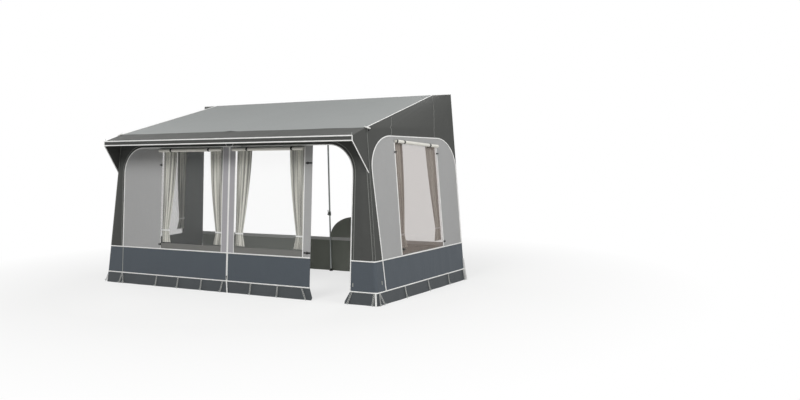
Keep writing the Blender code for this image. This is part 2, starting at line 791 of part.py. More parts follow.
def front_curtains():
    away = CLOTH + TRACK_CLEARANCE + TRACK_DEPTH / 2
    head = TRACK_PLACE_HEIGHT - (TRACK_HEIGHT / 2 + GAP) * math.cos(FRONT_ANGLE)
    for label, (start, end), places in (
        ("front_left", LEFT_WINDOW, ("outer", "inner")),
        ("front_right", RIGHT_WINDOW, ("inner", "outer")),
    ):
        bar_ends = [
            front_point(x, TRACK_PLACE_HEIGHT) - OUT_FRONT * away
            for x in (start - TRACK_OVERHANG, end + TRACK_OVERHANG)
        ]
        box_between(
            f"{label}_curtain_track", *bar_ends, OUT_FRONT, TRACK_DEPTH, TRACK_HEIGHT, track_plastic
        )
        for place, towards, edge in ((places[0], 1, start), (places[1], -1, end)):
            curtain(
                f"{label}_{place}_curtain", front_point, -OUT_FRONT, edge + towards * CURTAIN_EDGE,
                towards, CURTAIN_HEAD_WIDTH, head,
            )


def side_run():
    """Length of a side wall at the middle of its window."""
    middle = (SIDE_WINDOW_SILL + SIDE_WINDOW_HEAD) / 2
    return GROUND_DEPTH - side_front_edge(middle)[1]


def side_curtains():
    away = CLOTH + TRACK_CLEARANCE + TRACK_DEPTH / 2
    run = side_run()
    start = SIDE_WINDOW_START_SHARE * run
    end = SIDE_WINDOW_END_SHARE * run
    head = SIDE_TRACK_HEIGHT - TRACK_HEIGHT / 2 - 2 * GAP
    for label, side in (("left", -1), ("right", 1)):
        outward = side_outward((start + end) / 2 / run, SIDE_TRACK_HEIGHT, side)

        def surface(along, z, side=side):
            return side_point(along / run, z, side)

        bar_ends = [
            surface(place, SIDE_TRACK_HEIGHT) - outward * away
            for place in (start - TRACK_OVERHANG, end + TRACK_OVERHANG)
        ]
        box_between(
            f"{label}_side_curtain_track", *bar_ends, outward, TRACK_DEPTH, TRACK_HEIGHT, track_plastic
        )
        for place, towards, edge in (("front", 1, start), ("rear", -1, end)):
            curtain(
                f"{label}_side_{place}_curtain", surface, -outward, edge + towards * CURTAIN_EDGE,
                towards, SIDE_CURTAIN_HEAD_WIDTH, head,
            )


# Pole frame

def below_roof(x, y):
    drop = (CLOTH + GAP + POLE_RADIUS) / math.cos(ROOF_PITCH)
    return roof_point(x, y) - Vector((0, 0, drop))


def below_canopy(x, y):
    drop = (CLOTH + GAP + POLE_RADIUS) / math.cos(CANOPY_PITCH)
    return canopy_point(x, y) - Vector((0, 0, drop))


def crossing_drop(pitch):
    """How far a pole lies under the rafter that it crosses."""
    return (2 * POLE_RADIUS + GAP) / math.cos(pitch)


def eave_pole_place():
    """Depth and height of the eave pole, where the line of the legs meets the rafters."""
    rise = math.tan(ROOF_PITCH)
    standoff = LEG_STANDOFF / math.cos(FRONT_ANGLE)
    start = below_roof(0, 0).z - crossing_drop(ROOF_PITCH)
    height = (start + standoff * rise) / (1 - FRONT_LEAN * rise)
    return FRONT_LEAN * height + standoff, height


def rafter(name, rail_x, eave_x, canopy_x):
    points = [
        below_roof(rail_x, GROUND_DEPTH - RAFTER_END_GAP),
        below_canopy(eave_x, EAVE_SETBACK),
        below_canopy(canopy_x, CANOPY_POLE_SETBACK - RAFTER_OVERRUN - CANOPY_REACH),
    ]
    return pole(name, points, steel)


def roof_frame():
    rail_x = ROOF_RAIL_WIDTH / 2 - POLE_EDGE_INSET
    eave_x = EAVE_WIDTH / 2 - POLE_EDGE_INSET
    canopy_x = CANOPY_WIDTH / 2 - POLE_EDGE_INSET
    rafter("left_rafter", -rail_x, -eave_x, -canopy_x)
    rafter("centre_rafter", ZIP_PLACE, ZIP_PLACE, ZIP_PLACE)
    rafter("right_rafter", rail_x, eave_x, canopy_x)
    depth, height = eave_pole_place()
    half = front_half_width(height) - CLOTH - 3 * GAP
    pole("eave_pole", [centred(-half, depth, height), centred(half, depth, height)], steel)
    depth = CANOPY_POLE_SETBACK - CANOPY_REACH
    height = below_canopy(0, depth).z - crossing_drop(CANOPY_PITCH)
    half = CANOPY_WIDTH / 2 - CLOTH - 3 * GAP
    pole("canopy_pole", [centred(-half, depth, height), centred(half, depth, height)], steel)


def rail_bead():
    half = WING_RAIL_WIDTH / 2
    ends = [centred(x, GROUND_DEPTH, RAIL_HEIGHT - BEAD_RADIUS) for x in (-half, half)]
    return finish(add_object("rail_bead", rod_mesh(ends, BEAD_RADIUS, 2), bead_cord))


def upright(label, base, top, facing):
    """Telescopic upright: an upper tube with its clamp, a lower tube with its foot, and the lever."""
    axis = (top - base).normalized()
    joint = base + axis * (LEG_JOINT_HEIGHT / axis.z)
    length = (top - joint).length
    bore = LOWER_LEG_RADIUS + RUNNING_GAP
    profile = [
        (bore, 0), (bore, length), (POLE_RADIUS, length), (POLE_RADIUS, COLLAR_LENGTH + COLLAR_LIP),
        (COLLAR_RADIUS, COLLAR_LENGTH), (COLLAR_RADIUS, 0),
    ]
    turned(f"{label}_upper", profile, frame_on(joint, axis, facing), steel)
    low_length = (LEG_JOINT_HEIGHT + LEG_OVERLAP) / axis.z
    bore = LOWER_LEG_RADIUS - POLE_WALL
    profile = [
        (0, FOOT_HEIGHT), (bore, FOOT_HEIGHT), (bore, low_length), (LOWER_LEG_RADIUS, low_length),
        (LOWER_LEG_RADIUS, FOOT_HEIGHT), (FOOT_RADIUS, FOOT_FLOOR), (FOOT_RADIUS, -FOOT_SINK),
        (0, -FOOT_SINK),
    ]
    lower = turned(f"{label}_lower", profile, frame_on(base, axis, facing), steel, ground=0)
    set_origin(lower, base)
    lever(f"{label}_clamp_lever", joint, axis, facing)


def lever(name, joint, axis, facing):
    out = (facing - axis * facing.dot(axis)).normalized()
    pivot = joint + axis * LEVER_PLACE + out * (COLLAR_RADIUS + GAP + LEVER_HUB_RADIUS)
    half = LEVER_THICKNESS / 2
    turn = math.degrees(math.asin(half / LEVER_HUB_RADIUS))
    outline = arc(0, 0, LEVER_HUB_RADIUS, 90 + turn, 450 - turn)
    outline += [(half, LEVER_LENGTH), (-half, LEVER_LENGTH)]
    outline_curve = flat_curve([outline])
    outline_curve.data.extrude = LEVER_WIDTH / 2
    mesh = welded(mesh_of(outline_curve))
    thing = add_object(name, mesh, black_plastic)
    placing = Matrix((out, axis, out.cross(axis))).transposed().to_4x4()
    placing.translation = pivot
    thing.matrix_world = placing
    return finish(thing)


def uprights():
    height = eave_pole_place()[1]
    standoff = LEG_STANDOFF / math.cos(FRONT_ANGLE)
    for label, side in (("left_leg", -1), ("centre_leg", 0), ("right_leg", 1)):
        head = height - POLE_RADIUS * (1 + abs(side) * SIDE_LEAN) - GAP
        ends = []
        for z in (0, head):
            x = side * (front_half_width(z) - LEG_INSET) if side else ZIP_PLACE
            ends.append(centred(x, FRONT_LEAN * z + standoff, z))
        upright(label, *ends, Vector((0, 1, 0)))
    place = GROUND_DEPTH - REAR_UPRIGHT_STANDOFF
    base = centred(REAR_UPRIGHT_PLACE, place, 0)
    top = roof_point(REAR_UPRIGHT_PLACE, place - POLE_RADIUS)
    top = Vector((base.x, base.y, top.z - (CLOTH + GAP) / math.cos(ROOF_PITCH)))
    upright("rear_upright", base, top, Vector((-1, 0, 0)))


# Zip slider

def unite(thing, other):
    """Joins another solid into this one."""
    union = thing.modifiers.new("union", "BOOLEAN")
    union.operation = "UNION"
    union.object = other
    depsgraph = bpy.context.evaluated_depsgraph_get()
    mesh = bpy.data.meshes.new_from_object(thing.evaluated_get(depsgraph))
    old = thing.data
    thing.modifiers.remove(union)
    thing.data = mesh
    bpy.data.meshes.remove(old)
    bpy.data.objects.remove(other, do_unlink=True)


def block(name, size, centre, collection):
    solid = bmesh.new()
    bmesh.ops.create_cube(solid, size=1)
    bmesh.ops.scale(solid, vec=size, verts=solid.verts)
    bmesh.ops.translate(solid, vec=centre, verts=solid.verts)
    mesh = bpy.data.meshes.new(name)
    solid.to_mesh(mesh)
    solid.free()
    thing = bpy.data.objects.new(name, mesh)
    collection.objects.link(thing)
    return thing


def zip_slider():
    body_size = (SLIDER_WIDTH, SLIDER_LENGTH, SLIDER_THICKNESS)
    body = block("zip_slider", body_size, (0, 0, SLIDER_THICKNESS / 2 + GAP), parts)
    body.data.materials.append(black_plastic)
    pull_centre = (0, -SLIDER_LENGTH / 2 + PULL_OVERLAP - PULL_LENGTH / 2, SLIDER_THICKNESS + GAP)
    pull = block("pull", (PULL_WIDTH, PULL_LENGTH, PULL_THICKNESS), pull_centre, guides)
    unite(body, pull)
    placing = Matrix((Vector((1, 0, 0)), UP_FRONT, OUT_FRONT)).transposed().to_4x4()
    placing.translation = front_point(ZIP_PLACE, SLIDER_REST_HEIGHT)
    body.matrix_world = placing
    edge = body.modifiers.new("edges", "BEVEL")
    edge.width = SLIDER_EDGE
    edge.segments = 1
    edge.limit_method = "ANGLE"
    edge.use_clamp_overlap = True
    return finish(body)


# Piping with the rubber ladders and pegs that hang from it

def ladder(top, bottom, across):
    """Rubber strip with holes, from the piping to its peg."""
    down = bottom - top
    length = down.length + LADDER_RUNG
    half = LADDER_WIDTH / 2
    pitch = (length - PIPING_RADIUS - LADDER_RUNG) / LADDER_HOLES
    loops = [rectangle(-half, half, 0, length)]
    for index in range(LADDER_HOLES):
        start = PIPING_RADIUS + LADDER_RUNG + index * pitch
        loops.append(rectangle(LADDER_RAIL - half, half - LADDER_RAIL, start, start + pitch - LADDER_RUNG))
    strip = flat_curve(loops)
    strip.data.extrude = LADDER_THICKNESS / 2
    mesh = welded(mesh_of(strip))
    axis = down.normalized()
    across = (across - axis * across.dot(axis)).normalized()
    placing = Matrix((across, axis, across.cross(axis))).transposed().to_4x4()
    placing.translation = top
    mesh.transform(placing)
    thing = bpy.data.objects.new("ladder", mesh)
    guides.objects.link(thing)
    return thing


def peg(foot, outward):
    """Peg as far as it shows above the ground, with its hooked head."""
    head = foot + Vector((0, 0, PEG_HEAD_HEIGHT))
    drop = Vector((0, 0, PEG_HOOK_DROP))
    reach = outward * PEG_HOOK_REACH
    points = [foot, head - drop, head + reach / 2, head + reach - drop]
    thing = bpy.data.objects.new("peg", rod_mesh(points, PEG_RADIUS, 1))
    guides.objects.link(thing)
    return thing


def peg_line(name, side, start, front_shares):
    height = SKIRT_BOTTOM
    front_off = OUT_FRONT * (PIPING_RADIUS + GAP)
    side_off = side_outward(MIDDLE_SHARE, height, side) * (PIPING_RADIUS + GAP)
    path = [
        front_point(start, height) + front_off,
        side_point(0, height, side) + front_off + side_off,
        side_point(1, height, side) + side_off,
    ]
    line = finish(add_object(name, rod_mesh(path, PIPING_RADIUS, 2), rubber))
    hangers = []
    corner = side * front_half_width(height)
    for share in front_shares:
        x = corner + (start - corner) * share
        hangers.append((front_point(x, height) + front_off, front_point(x, 0), Vector((0, -1, 0))))
    for share in SIDE_LADDER_SHARES:
        outward = side_outward(share, height, side)
        level = Vector((outward.x, outward.y, 0)).normalized()
        hangers.append((side_point(share, height, side) + side_off, side_point(share, 0, side), level))
    for top, foot, outward in hangers:
        bottom = foot + outward * LADDER_SPLAY + Vector((0, 0, LADDER_END_HEIGHT))
        across = Vector((0, 0, 1)).cross(outward)
        unite(line, ladder(top, bottom, across))
        unite(line, peg(foot + outward * LADDER_SPLAY, outward))
    return finish(line)


def peg_lines():
    peg_line("left_peg_line", -1, DOOR_LEFT, LEFT_LADDER_SHARES)
    peg_line("right_peg_line", 1, DOOR_RIGHT, RIGHT_LADDER_SHARES)


for old_object in list(bpy.data.objects):
    bpy.data.objects.remove(old_object, do_unlink=True)

parts = make_collection("caravan_awning")
guides = make_collection("cutters_and_guides")

roof_cloth = make_material("roof_cloth", (0.33, 0.35, 0.36), 0.8)
dark_cloth = make_material("dark_cloth", (0.070, 0.072, 0.072), 0.85)
light_cloth = make_material("light_cloth", (0.34, 0.34, 0.34), 0.85)
skirt_cloth = make_material("skirt_cloth", (0.085, 0.10, 0.12), 0.6)
flap_cloth = make_material("flap_cloth", (0.085, 0.09, 0.095), 0.65)
cover_cloth = make_material("cover_cloth", (0.58, 0.57, 0.52), 0.85)
curtain_cloth = make_material("curtain_cloth", (0.50, 0.50, 0.43), 0.9)
clear_film = make_material("clear_film", (0.80, 0.81, 0.80), 0.1, alpha=0.3)
track_plastic = make_material("track_plastic", (0.80, 0.80, 0.78), 0.4)
black_plastic = make_material("black_plastic", (0.03, 0.03, 0.03), 0.4)
steel = make_material("steel", (0.45, 0.46, 0.45), 0.35, metallic=1.0)
bead_cord = make_material("bead_cord", (0.75, 0.75, 0.73), 0.6)
rubber = make_material("rubber", (0.62, 0.62, 0.60), 0.7)

roof()
canopy()
valance()
gusset("left_canopy_gusset", -1)
gusset("right_canopy_gusset", 1)
front_walls()
side_walls()
bands()
draught_skirt()
rolls()
front_curtains()
side_curtains()
rail_bead()
roof_frame()
uprights()
zip_slider()
peg_lines()
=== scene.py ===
"""Caravan awning: its cloth, film, curtains, poles and fittings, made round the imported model.

The room stands on the ground with its open back against a flat side.
X runs along that side, Y points towards it and Z is up, in metres.
Cloth is cut flat first, in two numbers u and v, and then laid on a surface of the room.
"""
import math

import bmesh
import bpy
from bpy.props import FloatProperty, FloatVectorProperty, PointerProperty
from mathutils import Matrix, Vector, noise


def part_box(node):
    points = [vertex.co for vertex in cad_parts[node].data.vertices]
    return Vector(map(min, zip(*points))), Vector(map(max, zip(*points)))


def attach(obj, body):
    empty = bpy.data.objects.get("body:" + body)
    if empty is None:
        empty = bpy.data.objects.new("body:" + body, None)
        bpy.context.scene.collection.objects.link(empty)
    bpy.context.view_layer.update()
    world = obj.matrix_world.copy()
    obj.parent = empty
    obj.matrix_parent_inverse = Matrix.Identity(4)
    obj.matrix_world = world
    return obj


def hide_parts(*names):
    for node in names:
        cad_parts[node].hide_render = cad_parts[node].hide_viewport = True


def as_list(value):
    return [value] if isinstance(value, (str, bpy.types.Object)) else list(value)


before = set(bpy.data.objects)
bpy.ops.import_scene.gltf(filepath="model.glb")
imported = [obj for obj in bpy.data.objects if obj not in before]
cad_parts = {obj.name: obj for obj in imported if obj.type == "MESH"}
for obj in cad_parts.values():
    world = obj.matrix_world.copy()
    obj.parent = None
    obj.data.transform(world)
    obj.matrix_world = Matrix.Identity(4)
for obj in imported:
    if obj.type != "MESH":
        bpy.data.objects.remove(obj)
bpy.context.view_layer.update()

bl_info = {
    "name": "Caravan Awning",
    "version": (1, 0, 0),
    "blender": (4, 5, 0),
    "location": "View3D > Sidebar > Awning",
    "description": "Builds a caravan awning with its walls, windows, curtains, poles and pegs",
    "category": "Object",
}

ROOM = "awning"
HANDS = (("left", -1), ("right", 1))
RIGHT, UP = Vector((1, 0, 0)), Vector((0, 0, 1))
FORWARD, BACK = Vector((0, -1, 0)), Vector((0, 1, 0))
FLAT_MAP = "flat"
# Name of the attribute that holds the painted shade of the curtains' folds
PAINTED_FOLD_SHADE = "painted_fold_shade"

# Outline of the room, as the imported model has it
RAIL_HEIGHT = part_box("rail_bead")[1].z
BEAD_RADIUS = (RAIL_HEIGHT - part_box("rail_bead")[0].z) / 2
GROUND_DEPTH = 2.03
REAR_GROUND_WIDTH = 4.60
EAVE_HEIGHT = 2.004
EAVE_SETBACK = 0.173
FRONT_TAPER = 0.13
EAVE_TAPER = 0.21
ROOF_TAPER = 0.086
WING_TAPER = 0.165
CANOPY_REACH = 0.119
CANOPY_DROP = 0.09
CANOPY_TAPER = 0.004
VALANCE_DROP = 0.054
GUSSET_DROP = 0.51

FRONT_GROUND_WIDTH = REAR_GROUND_WIDTH - 2 * FRONT_TAPER
EAVE_WIDTH = FRONT_GROUND_WIDTH - 2 * EAVE_TAPER
CANOPY_WIDTH = EAVE_WIDTH - 2 * CANOPY_TAPER
CANOPY_HEIGHT = EAVE_HEIGHT - CANOPY_DROP
FRONT_LEAN = EAVE_SETBACK / EAVE_HEIGHT
SIDE_LEAN = EAVE_TAPER / EAVE_HEIGHT
ROOF_PITCH = math.atan2(RAIL_HEIGHT - EAVE_HEIGHT, GROUND_DEPTH - EAVE_SETBACK)
CANOPY_PITCH = math.atan2(CANOPY_DROP, EAVE_SETBACK + CANOPY_REACH)
FRONT_ANGLE = math.atan(FRONT_LEAN)
MIDDLE_DEPTH = (GROUND_DEPTH + BEAD_RADIUS - CANOPY_REACH) / 2
# The walls end just under the roof cloth
WALL_EAVE = EAVE_HEIGHT - 0.0024
OUT_FRONT = Vector((0, -math.cos(FRONT_ANGLE), math.sin(FRONT_ANGLE)))
OUT_ROOF = Vector((0, -math.sin(ROOF_PITCH), math.cos(ROOF_PITCH)))
OUT_CANOPY = Vector((0, -math.sin(CANOPY_PITCH), math.cos(CANOPY_PITCH)))

# Bands, arches, door and windows
SKIRT_TOP = 0.494
SKIRT_BOTTOM = 0.146
WALL_HEAD = EAVE_HEIGHT - 0.049
ARCH_TOP = WALL_HEAD - 0.135
ARCH_RADIUS = 0.335
ARCH_SPRING = ARCH_TOP - ARCH_RADIUS
SKIRT_HALF_WIDTH = FRONT_GROUND_WIDTH / 2 - SIDE_LEAN * SKIRT_TOP
ARCH_LEFT = 0.258 - SKIRT_HALF_WIDTH
DOOR_RIGHT = SKIRT_HALF_WIDTH - 0.318
DOOR_LEFT = DOOR_RIGHT - 0.565
ZIP_PLACE = -0.03
ZIP_BORDER = 0.10
SLIDER_TRAVEL = 1.58
# An even number of teeth to the slider's travel, so it grips them alike at both ends. Real ones 3 mm.
TEETH_PITCH = SLIDER_TRAVEL * math.cos(FRONT_ANGLE) / 314
LEFT_WINDOW = (ARCH_LEFT + 0.69, ZIP_PLACE - ZIP_BORDER)
RIGHT_WINDOW = (ZIP_PLACE + ZIP_BORDER, DOOR_LEFT - 0.11)
WINDOW_SILL = SKIRT_TOP + 0.059
WINDOW_HEAD = ARCH_TOP - 0.02
SIDE_RUN = 1.93
SIDE_ARCH_FRONT = 0.19
SIDE_ARCH_REAR = GROUND_DEPTH - 0.02
SIDE_ARCH_FRONT_TOP = EAVE_HEIGHT - 0.099
SIDE_ARCH_REAR_TOP = EAVE_HEIGHT - 0.134
SIDE_ARCH_RADIUS = 0.405
SIDE_SPRING = SIDE_ARCH_REAR_TOP - SIDE_ARCH_RADIUS
SIDE_WINDOW = (0.276 * SIDE_RUN, 0.757 * SIDE_RUN)
SIDE_WINDOW_SILL = SKIRT_TOP + 0.012
SIDE_WINDOW_HEAD = SIDE_ARCH_REAR_TOP - 0.04
SIDE_HEAD_FALL = 0.075
GUSSET_BEND_SHARE = 0.85
GUSSET_FOOT_SHARE = 0.03
FLAP_ROUND_HEIGHT = 0.03
# How far each flap's end by the door flares out along x at its foot, and is rounded back
LEFT_FLAP_END = (0.055, 0.030)
RIGHT_FLAP_END = (-0.085, -0.015)
FLAP_GROUND_GAP = 0.002
DRAUGHT_END_GAP = 0.003
DRAUGHT_TAPE_END_GAP = 0.01

# Slack of the cloth: how far from a seam it grows to its full, and the waves of the loose pieces
SLACK_REACH = 0.3
ZIP_SLACK_REACH = 0.15
REAR_SLACK_REACH = 0.2
CANOPY_WAVE = 0.005
VALANCE_WAVE = 0.003
DRAUGHT_FOLD = 0.006
DRAUGHT_FOLD_HEIGHT = 0.5
EAVE_LIFT = 0.009
EAVE_LIFT_SPREAD = 0.06
FRONT_SEED = 1.5
SIDE_SEED = 7.5

# How far seams, tapes and fittings stand out from the outer face of the cloth
CORNER_SEAM_OUT = 0.0006
SEAM_OUT = 0.0008
RING_OUT = 0.0012
TAPE_OUT = 0.0016
ZIP_TAPE_OUT = 0.0018
TAB_OUT = 0.002
TEETH_OUT = 0.0027
STRIP_OUT = 0.003
PIPING_OUT = 0.0034
HANGER_OUT = 0.005
ZIP_LOOP_OUT = 0.008
TOGGLE_OUT = 0.013
ROOF_TRIM_OUT = 0.001
CANOPY_PIPING_OUT = 0.002

# Seams, tapes and zips
SEAM_HALF_WIDTH = 0.0035
SEAM_RISE = 0.0011
CORNER_SEAM_INSET = 0.024
SIDE_SEAM_INSET = 0.014
RING_GAP = 0.034
DRAUGHT_TAPE_WIDTH = 0.045
ZIP_TAPE_HALF_WIDTH = 0.013
ZIP_FLAP_GAP = 0.012
WINDOW_TAPE_HALF_WIDTH = 0.006
EDGING_HALF_WIDTH = 0.004
ZIP_END_GAP = 0.01
TOOTH_SIZE = (0.0045, 0.0018, 0.0022)
TOOTH_STAGGER = 0.0016
ZIP_LOOP_HEIGHT = 1.858
ZIP_LOOP_HALF_WIDTH = 0.060
ZIP_LOOP_DROP = 0.046
CORD_RADIUS = 0.003
SILL_STRIP_INSET = 0.01
SILL_STRIP_HEIGHTS = (SKIRT_TOP + 0.012, WINDOW_SILL + 0.02)
# The height at which a side wall's direction outwards is taken for what is sewn to it
WALL_MIDDLE = 1.2
SIDE_SEAM_MIDDLE = 1.5

# Rolled covers, curtains and tracks
ROLL_RADIUS = 0.022
ROLL_HEIGHT = WINDOW_HEAD - ROLL_RADIUS
ROLL_CORE = 0.004
SIDE_ROLL_RISE = 0.012
FRONT_ROLL_GAP = 0.0006
SIDE_ROLL_GAP = 0.003
# The cloth is wound to a little under the roll's radius, which leaves room for the straps
STRAP_ROOM = 0.0015
STRAP_SINK = 0.0008
# Straps: their places along x on the front, and their distances from a side roll's front end
FRONT_STRAPS = {"left": (-0.995, -0.35), "right": (0.268, 0.947)}
SIDE_STRAPS = (0.016, 0.17, 0.725)
CURTAIN_AWAY = 0.025
CURTAIN_EDGE = 0.004
CURTAIN_HEAD_WIDTH = 0.235
SIDE_CURTAIN_HEAD_WIDTHS = {"front": 0.19, "rear": 0.21}
CURTAIN_TIE_WIDTH = 0.115
CURTAIN_HEM_WIDTH = 0.15
CURTAIN_HEM_HEIGHT = WINDOW_SILL + 0.032
CURTAIN_TIE_HEIGHT = CURTAIN_HEM_HEIGHT + 0.155
CURTAIN_FOLDS = 4
CURTAIN_GATHER = 0.15
CURTAIN_THICKNESS = 0.0008
CURTAIN_HOOKS = 9
# Heading tape: its lower and upper edge under the curtain's head
HEADING = (0.024, 0.001)
HEADING_OUT = 0.0014
HEADING_THICKNESS = 0.0005
HOOK_SIZE = (0.003, 0.004, 0.020)
HOOK_DROP = 0.012
HOOK_OUT = 0.004
TIE_GAP = 0.007
TIE_DEPTH = 0.0125

# Poles, clamps and feet
POLE_RADIUS = 0.0125
POLE_WALL = 0.0012
LOWER_LEG_RADIUS = 0.011
COLLAR_RADIUS = 0.019
FOOT_RADIUS = 0.026
LEG_JOINT_HEIGHT = 0.80
LEG_OVERLAP = 0.25
POLE_EDGE_INSET = 0.05
LEG_CORNER_INSET = 0.034
LEG_STANDOFF = 0.030
TUBE_PLAY = 0.0003
PIVOT_RISE = 0.018
PIVOT_OUT = 0.0083
REAR_UPRIGHT_PLACE = (0.20, GROUND_DEPTH - 0.035)

# Rubber ladders, as shares of the way from a front corner to the door, and of a side's depth
LEFT_LADDER_SHARES = (
    (0.087, 0.077), (0.087, 0.098), (0.276, 0.276), (0.388, 0.388), (0.506, 0.506), (0.609, 0.603),
    (0.742, 0.742), (0.863, 0.863), (0.966, 0.988),
)
RIGHT_LADDER_SHARES = ((0.098, 0.110), (0.93, 1.04))
SIDE_LADDER_SHARES = (
    (0.022, 0.006), (0.022, 0.046), (0.28, 0.28), (0.54, 0.54), (0.784, 0.784), (0.985, 0.975),
)
LADDER_SPLAY = 0.028
LADDER_RINGS = 6
LADDER_HALF_WIDTH = 0.0085
PEG_RADIUS = 0.003
PEG_HOOK_HEIGHT = 0.012
STRAP_FOOT_HEIGHT = 0.004

# Fineness of the nets and the curves
PITCH = 0.032
FINE_PITCH = 0.010
CORNER_RUN = 0.06
COVER_STEPS = 330
ARC_STEPS = 20
SHARP_DEGREES = 40


def linear(hex_colour):
    """Linear RGB of a colour written as sRGB hex."""
    channels = [int(hex_colour[place:place + 2], 16) / 255 for place in (1, 3, 5)]
    return tuple(c / 12.92 if c <= 0.04045 else ((c + 0.055) / 1.055) ** 2.4 for c in channels)


def size_setting(name, description, default):
    return FloatProperty(name=name, description=description, default=default, unit="LENGTH", precision=4)


def colour_setting(name, description, default):
    return FloatVectorProperty(
        name=name, description=description, default=linear(default), subtype="COLOR", min=0, max=1
    )


class AwningSizes(bpy.types.PropertyGroup):
    """Sizes of the soft shapes that a user may change"""
    cloth: size_setting("Cloth", "Thickness of the coated cloth", 0.0014)
    film: size_setting("Film", "Thickness of the window film", 0.0008)
    roof_sag: size_setting("Roof sag", "How far the roof hangs between its poles", 0.014)
    swell: size_setting("Swell", "How far the walls stand out between their seams", 0.005)
    bulge: size_setting("Bulge", "How far the dark cloth stands out beside the arch", 0.011)
    ripple: size_setting("Ripple", "How far the mud flap waves at its hem", 0.009)
    corner: size_setting("Corner", "Radius of the upright corners", 0.034)
    piping: size_setting("Piping", "Width of the white piping", 0.014)
    fold: size_setting("Fold", "Depth of the curtains' folds", 0.030)
    strap: size_setting("Strap", "Width of the straps round the rolled covers", 0.026)
    lamp_size: size_setting("Lamp size", "Width of the soft lamps", 5.5)


class AwningColours(bpy.types.PropertyGroup):
    """Colours of the cloth and the fittings"""
    roof: colour_setting("Roof", "Coated roof cloth", "#8D908F")
    corners: colour_setting("Corners", "Dark cloth of the corners and the canopy", "#474846")
    panels: colour_setting("Panels", "Light cloth of the panels", "#A8A8A8")
    lining: colour_setting("Lining", "Inner side of the panels and the bands", "#333536")
    seams: colour_setting("Seams", "Bound seams and zip lines on the dark cloth", "#80827E")
    skirt: colour_setting("Skirt", "Band under the windows", "#4B5259")
    flap: colour_setting("Flap", "Mud flap", "#494D50")
    draught: colour_setting("Draught skirt", "Skirt and cover along the open back", "#9A9E95")
    covers: colour_setting("Covers", "Rolled window covers", "#E6E4DC")
    curtains: colour_setting("Curtains", "Curtain cloth", "#F4F2E8")
    piping: colour_setting("Piping", "Piping, tapes and tie-backs", "#F0F0EE")
    tape: colour_setting("Tape", "Zip tape beside the centre zip", "#A9A7AB")
    sill: colour_setting("Sill", "Strips under the front windows", "#757572")
    film: colour_setting("Film", "Clear film of the front windows", "#DDE0DE")
    side_film: colour_setting("Side film", "Tinted film of the side windows", "#94847B")
    steel: colour_setting("Steel", "Zinc-plated poles", "#A3A8A6")


def sizes():
    return bpy.context.scene.awning_sizes


def colours():
    return bpy.context.scene.awning_colours


# Surfaces of the room, each from two numbers and a distance outwards to a point

def ease(value):
    value = min(1, max(0, value))
    return value * value * (3 - 2 * value)


def centred(x, y, z):
    return Vector((x, y - MIDDLE_DEPTH, z))


def front_half_width(z):
    return FRONT_GROUND_WIDTH / 2 - SIDE_LEAN * z


def rear_half_width(z):
    return REAR_GROUND_WIDTH / 2 - WING_TAPER * z / RAIL_HEIGHT


def corner_radius(z):
    """The upright corners are round, and sharpen towards the eave."""
    return sizes().corner * ease((WALL_EAVE - z) / GUSSET_DROP)


def turned_corner(distance, z):
    """Distance from the corner and depth behind the wall, for a place on the flat wall."""
    radius = corner_radius(z)
    if distance >= radius:
        return distance, 0
    angle = math.pi / 4 * (1 - max(0, distance) / radius)
    return radius * (1 - math.sin(angle)), radius * (1 - math.cos(angle))


def swell(u, v, seed, near_edge):
    """Slack of a wall: it stands out a little between its seams, with faint creases."""
    broad = noise.noise(Vector((u * 1.7, v * 1.1, seed)))
    crease = noise.noise(Vector((u * 6.1, v * 2.3, seed + 5)))
    return sizes().swell * ease(near_edge) * max(0, 0.45 + 0.5 * broad + 0.22 * crease)


def ripple(u, z, seed):
    """Waves of the loose mud flap, none at its seam and most at its hem."""
    if z >= SKIRT_BOTTOM:
        return 0
    share = 1 - z / SKIRT_BOTTOM
    wave = 0.5 + 0.5 * math.sin(u * 15 + 2.5 * noise.noise(Vector((u * 1.9, seed, 0))))
    return sizes().ripple * share * wave


def bulge(x, z):
    """Upright fold of the dark cloth between the arch and each corner."""
    arch_edge = DOOR_RIGHT if x > 0 else -ARCH_LEFT
    share = (abs(x) - arch_edge) / (front_half_width(z) - arch_edge)
    height = ease((z - SKIRT_TOP) / 0.35) * ease((WALL_HEAD - z) / 0.5)
    return sizes().bulge * height * math.exp(-((share - 0.5) / 0.2) ** 2)


def front(x, z, out=0.0):
    """Place on the front wall, x along it and z up."""
    half = front_half_width(z)
    distance, depth = turned_corner(half - abs(x), z)
    near_edge = min((half - abs(x)) / SLACK_REACH, (WALL_EAVE - z) / SLACK_REACH)
    near_seam = min(near_edge, abs(x - ZIP_PLACE) / ZIP_SLACK_REACH)
    slack = swell(x, z, FRONT_SEED, near_seam) + ripple(x, z, FRONT_SEED) + bulge(x, z)
    if depth:
        x = math.copysign(half - distance, x)
    return centred(x, FRONT_LEAN * z, z) + OUT_FRONT * (out + slack - depth)


def side_front_edge(z):
    """Front edge of a side wall: up the corner, then along the edge of the roof."""
    if z <= WALL_EAVE:
        return front_half_width(z), FRONT_LEAN * z
    share = (z - WALL_EAVE) / (RAIL_HEIGHT - EAVE_HEIGHT)
    return EAVE_WIDTH / 2 - ROOF_TAPER * share, EAVE_SETBACK + (GROUND_DEPTH - EAVE_SETBACK) * share


def side_share(y, z):
    front_y = side_front_edge(z)[1]
    return (y - front_y) / (GROUND_DEPTH - front_y)


def side_out(z):
    """Direction out of the right-hand wall at a height."""
    front_x, front_y = side_front_edge(z)
    level = Vector((GROUND_DEPTH - front_y, front_x - rear_half_width(z), 0)).normalized()
    return (level + Vector((0, 0, SIDE_LEAN))).normalized()


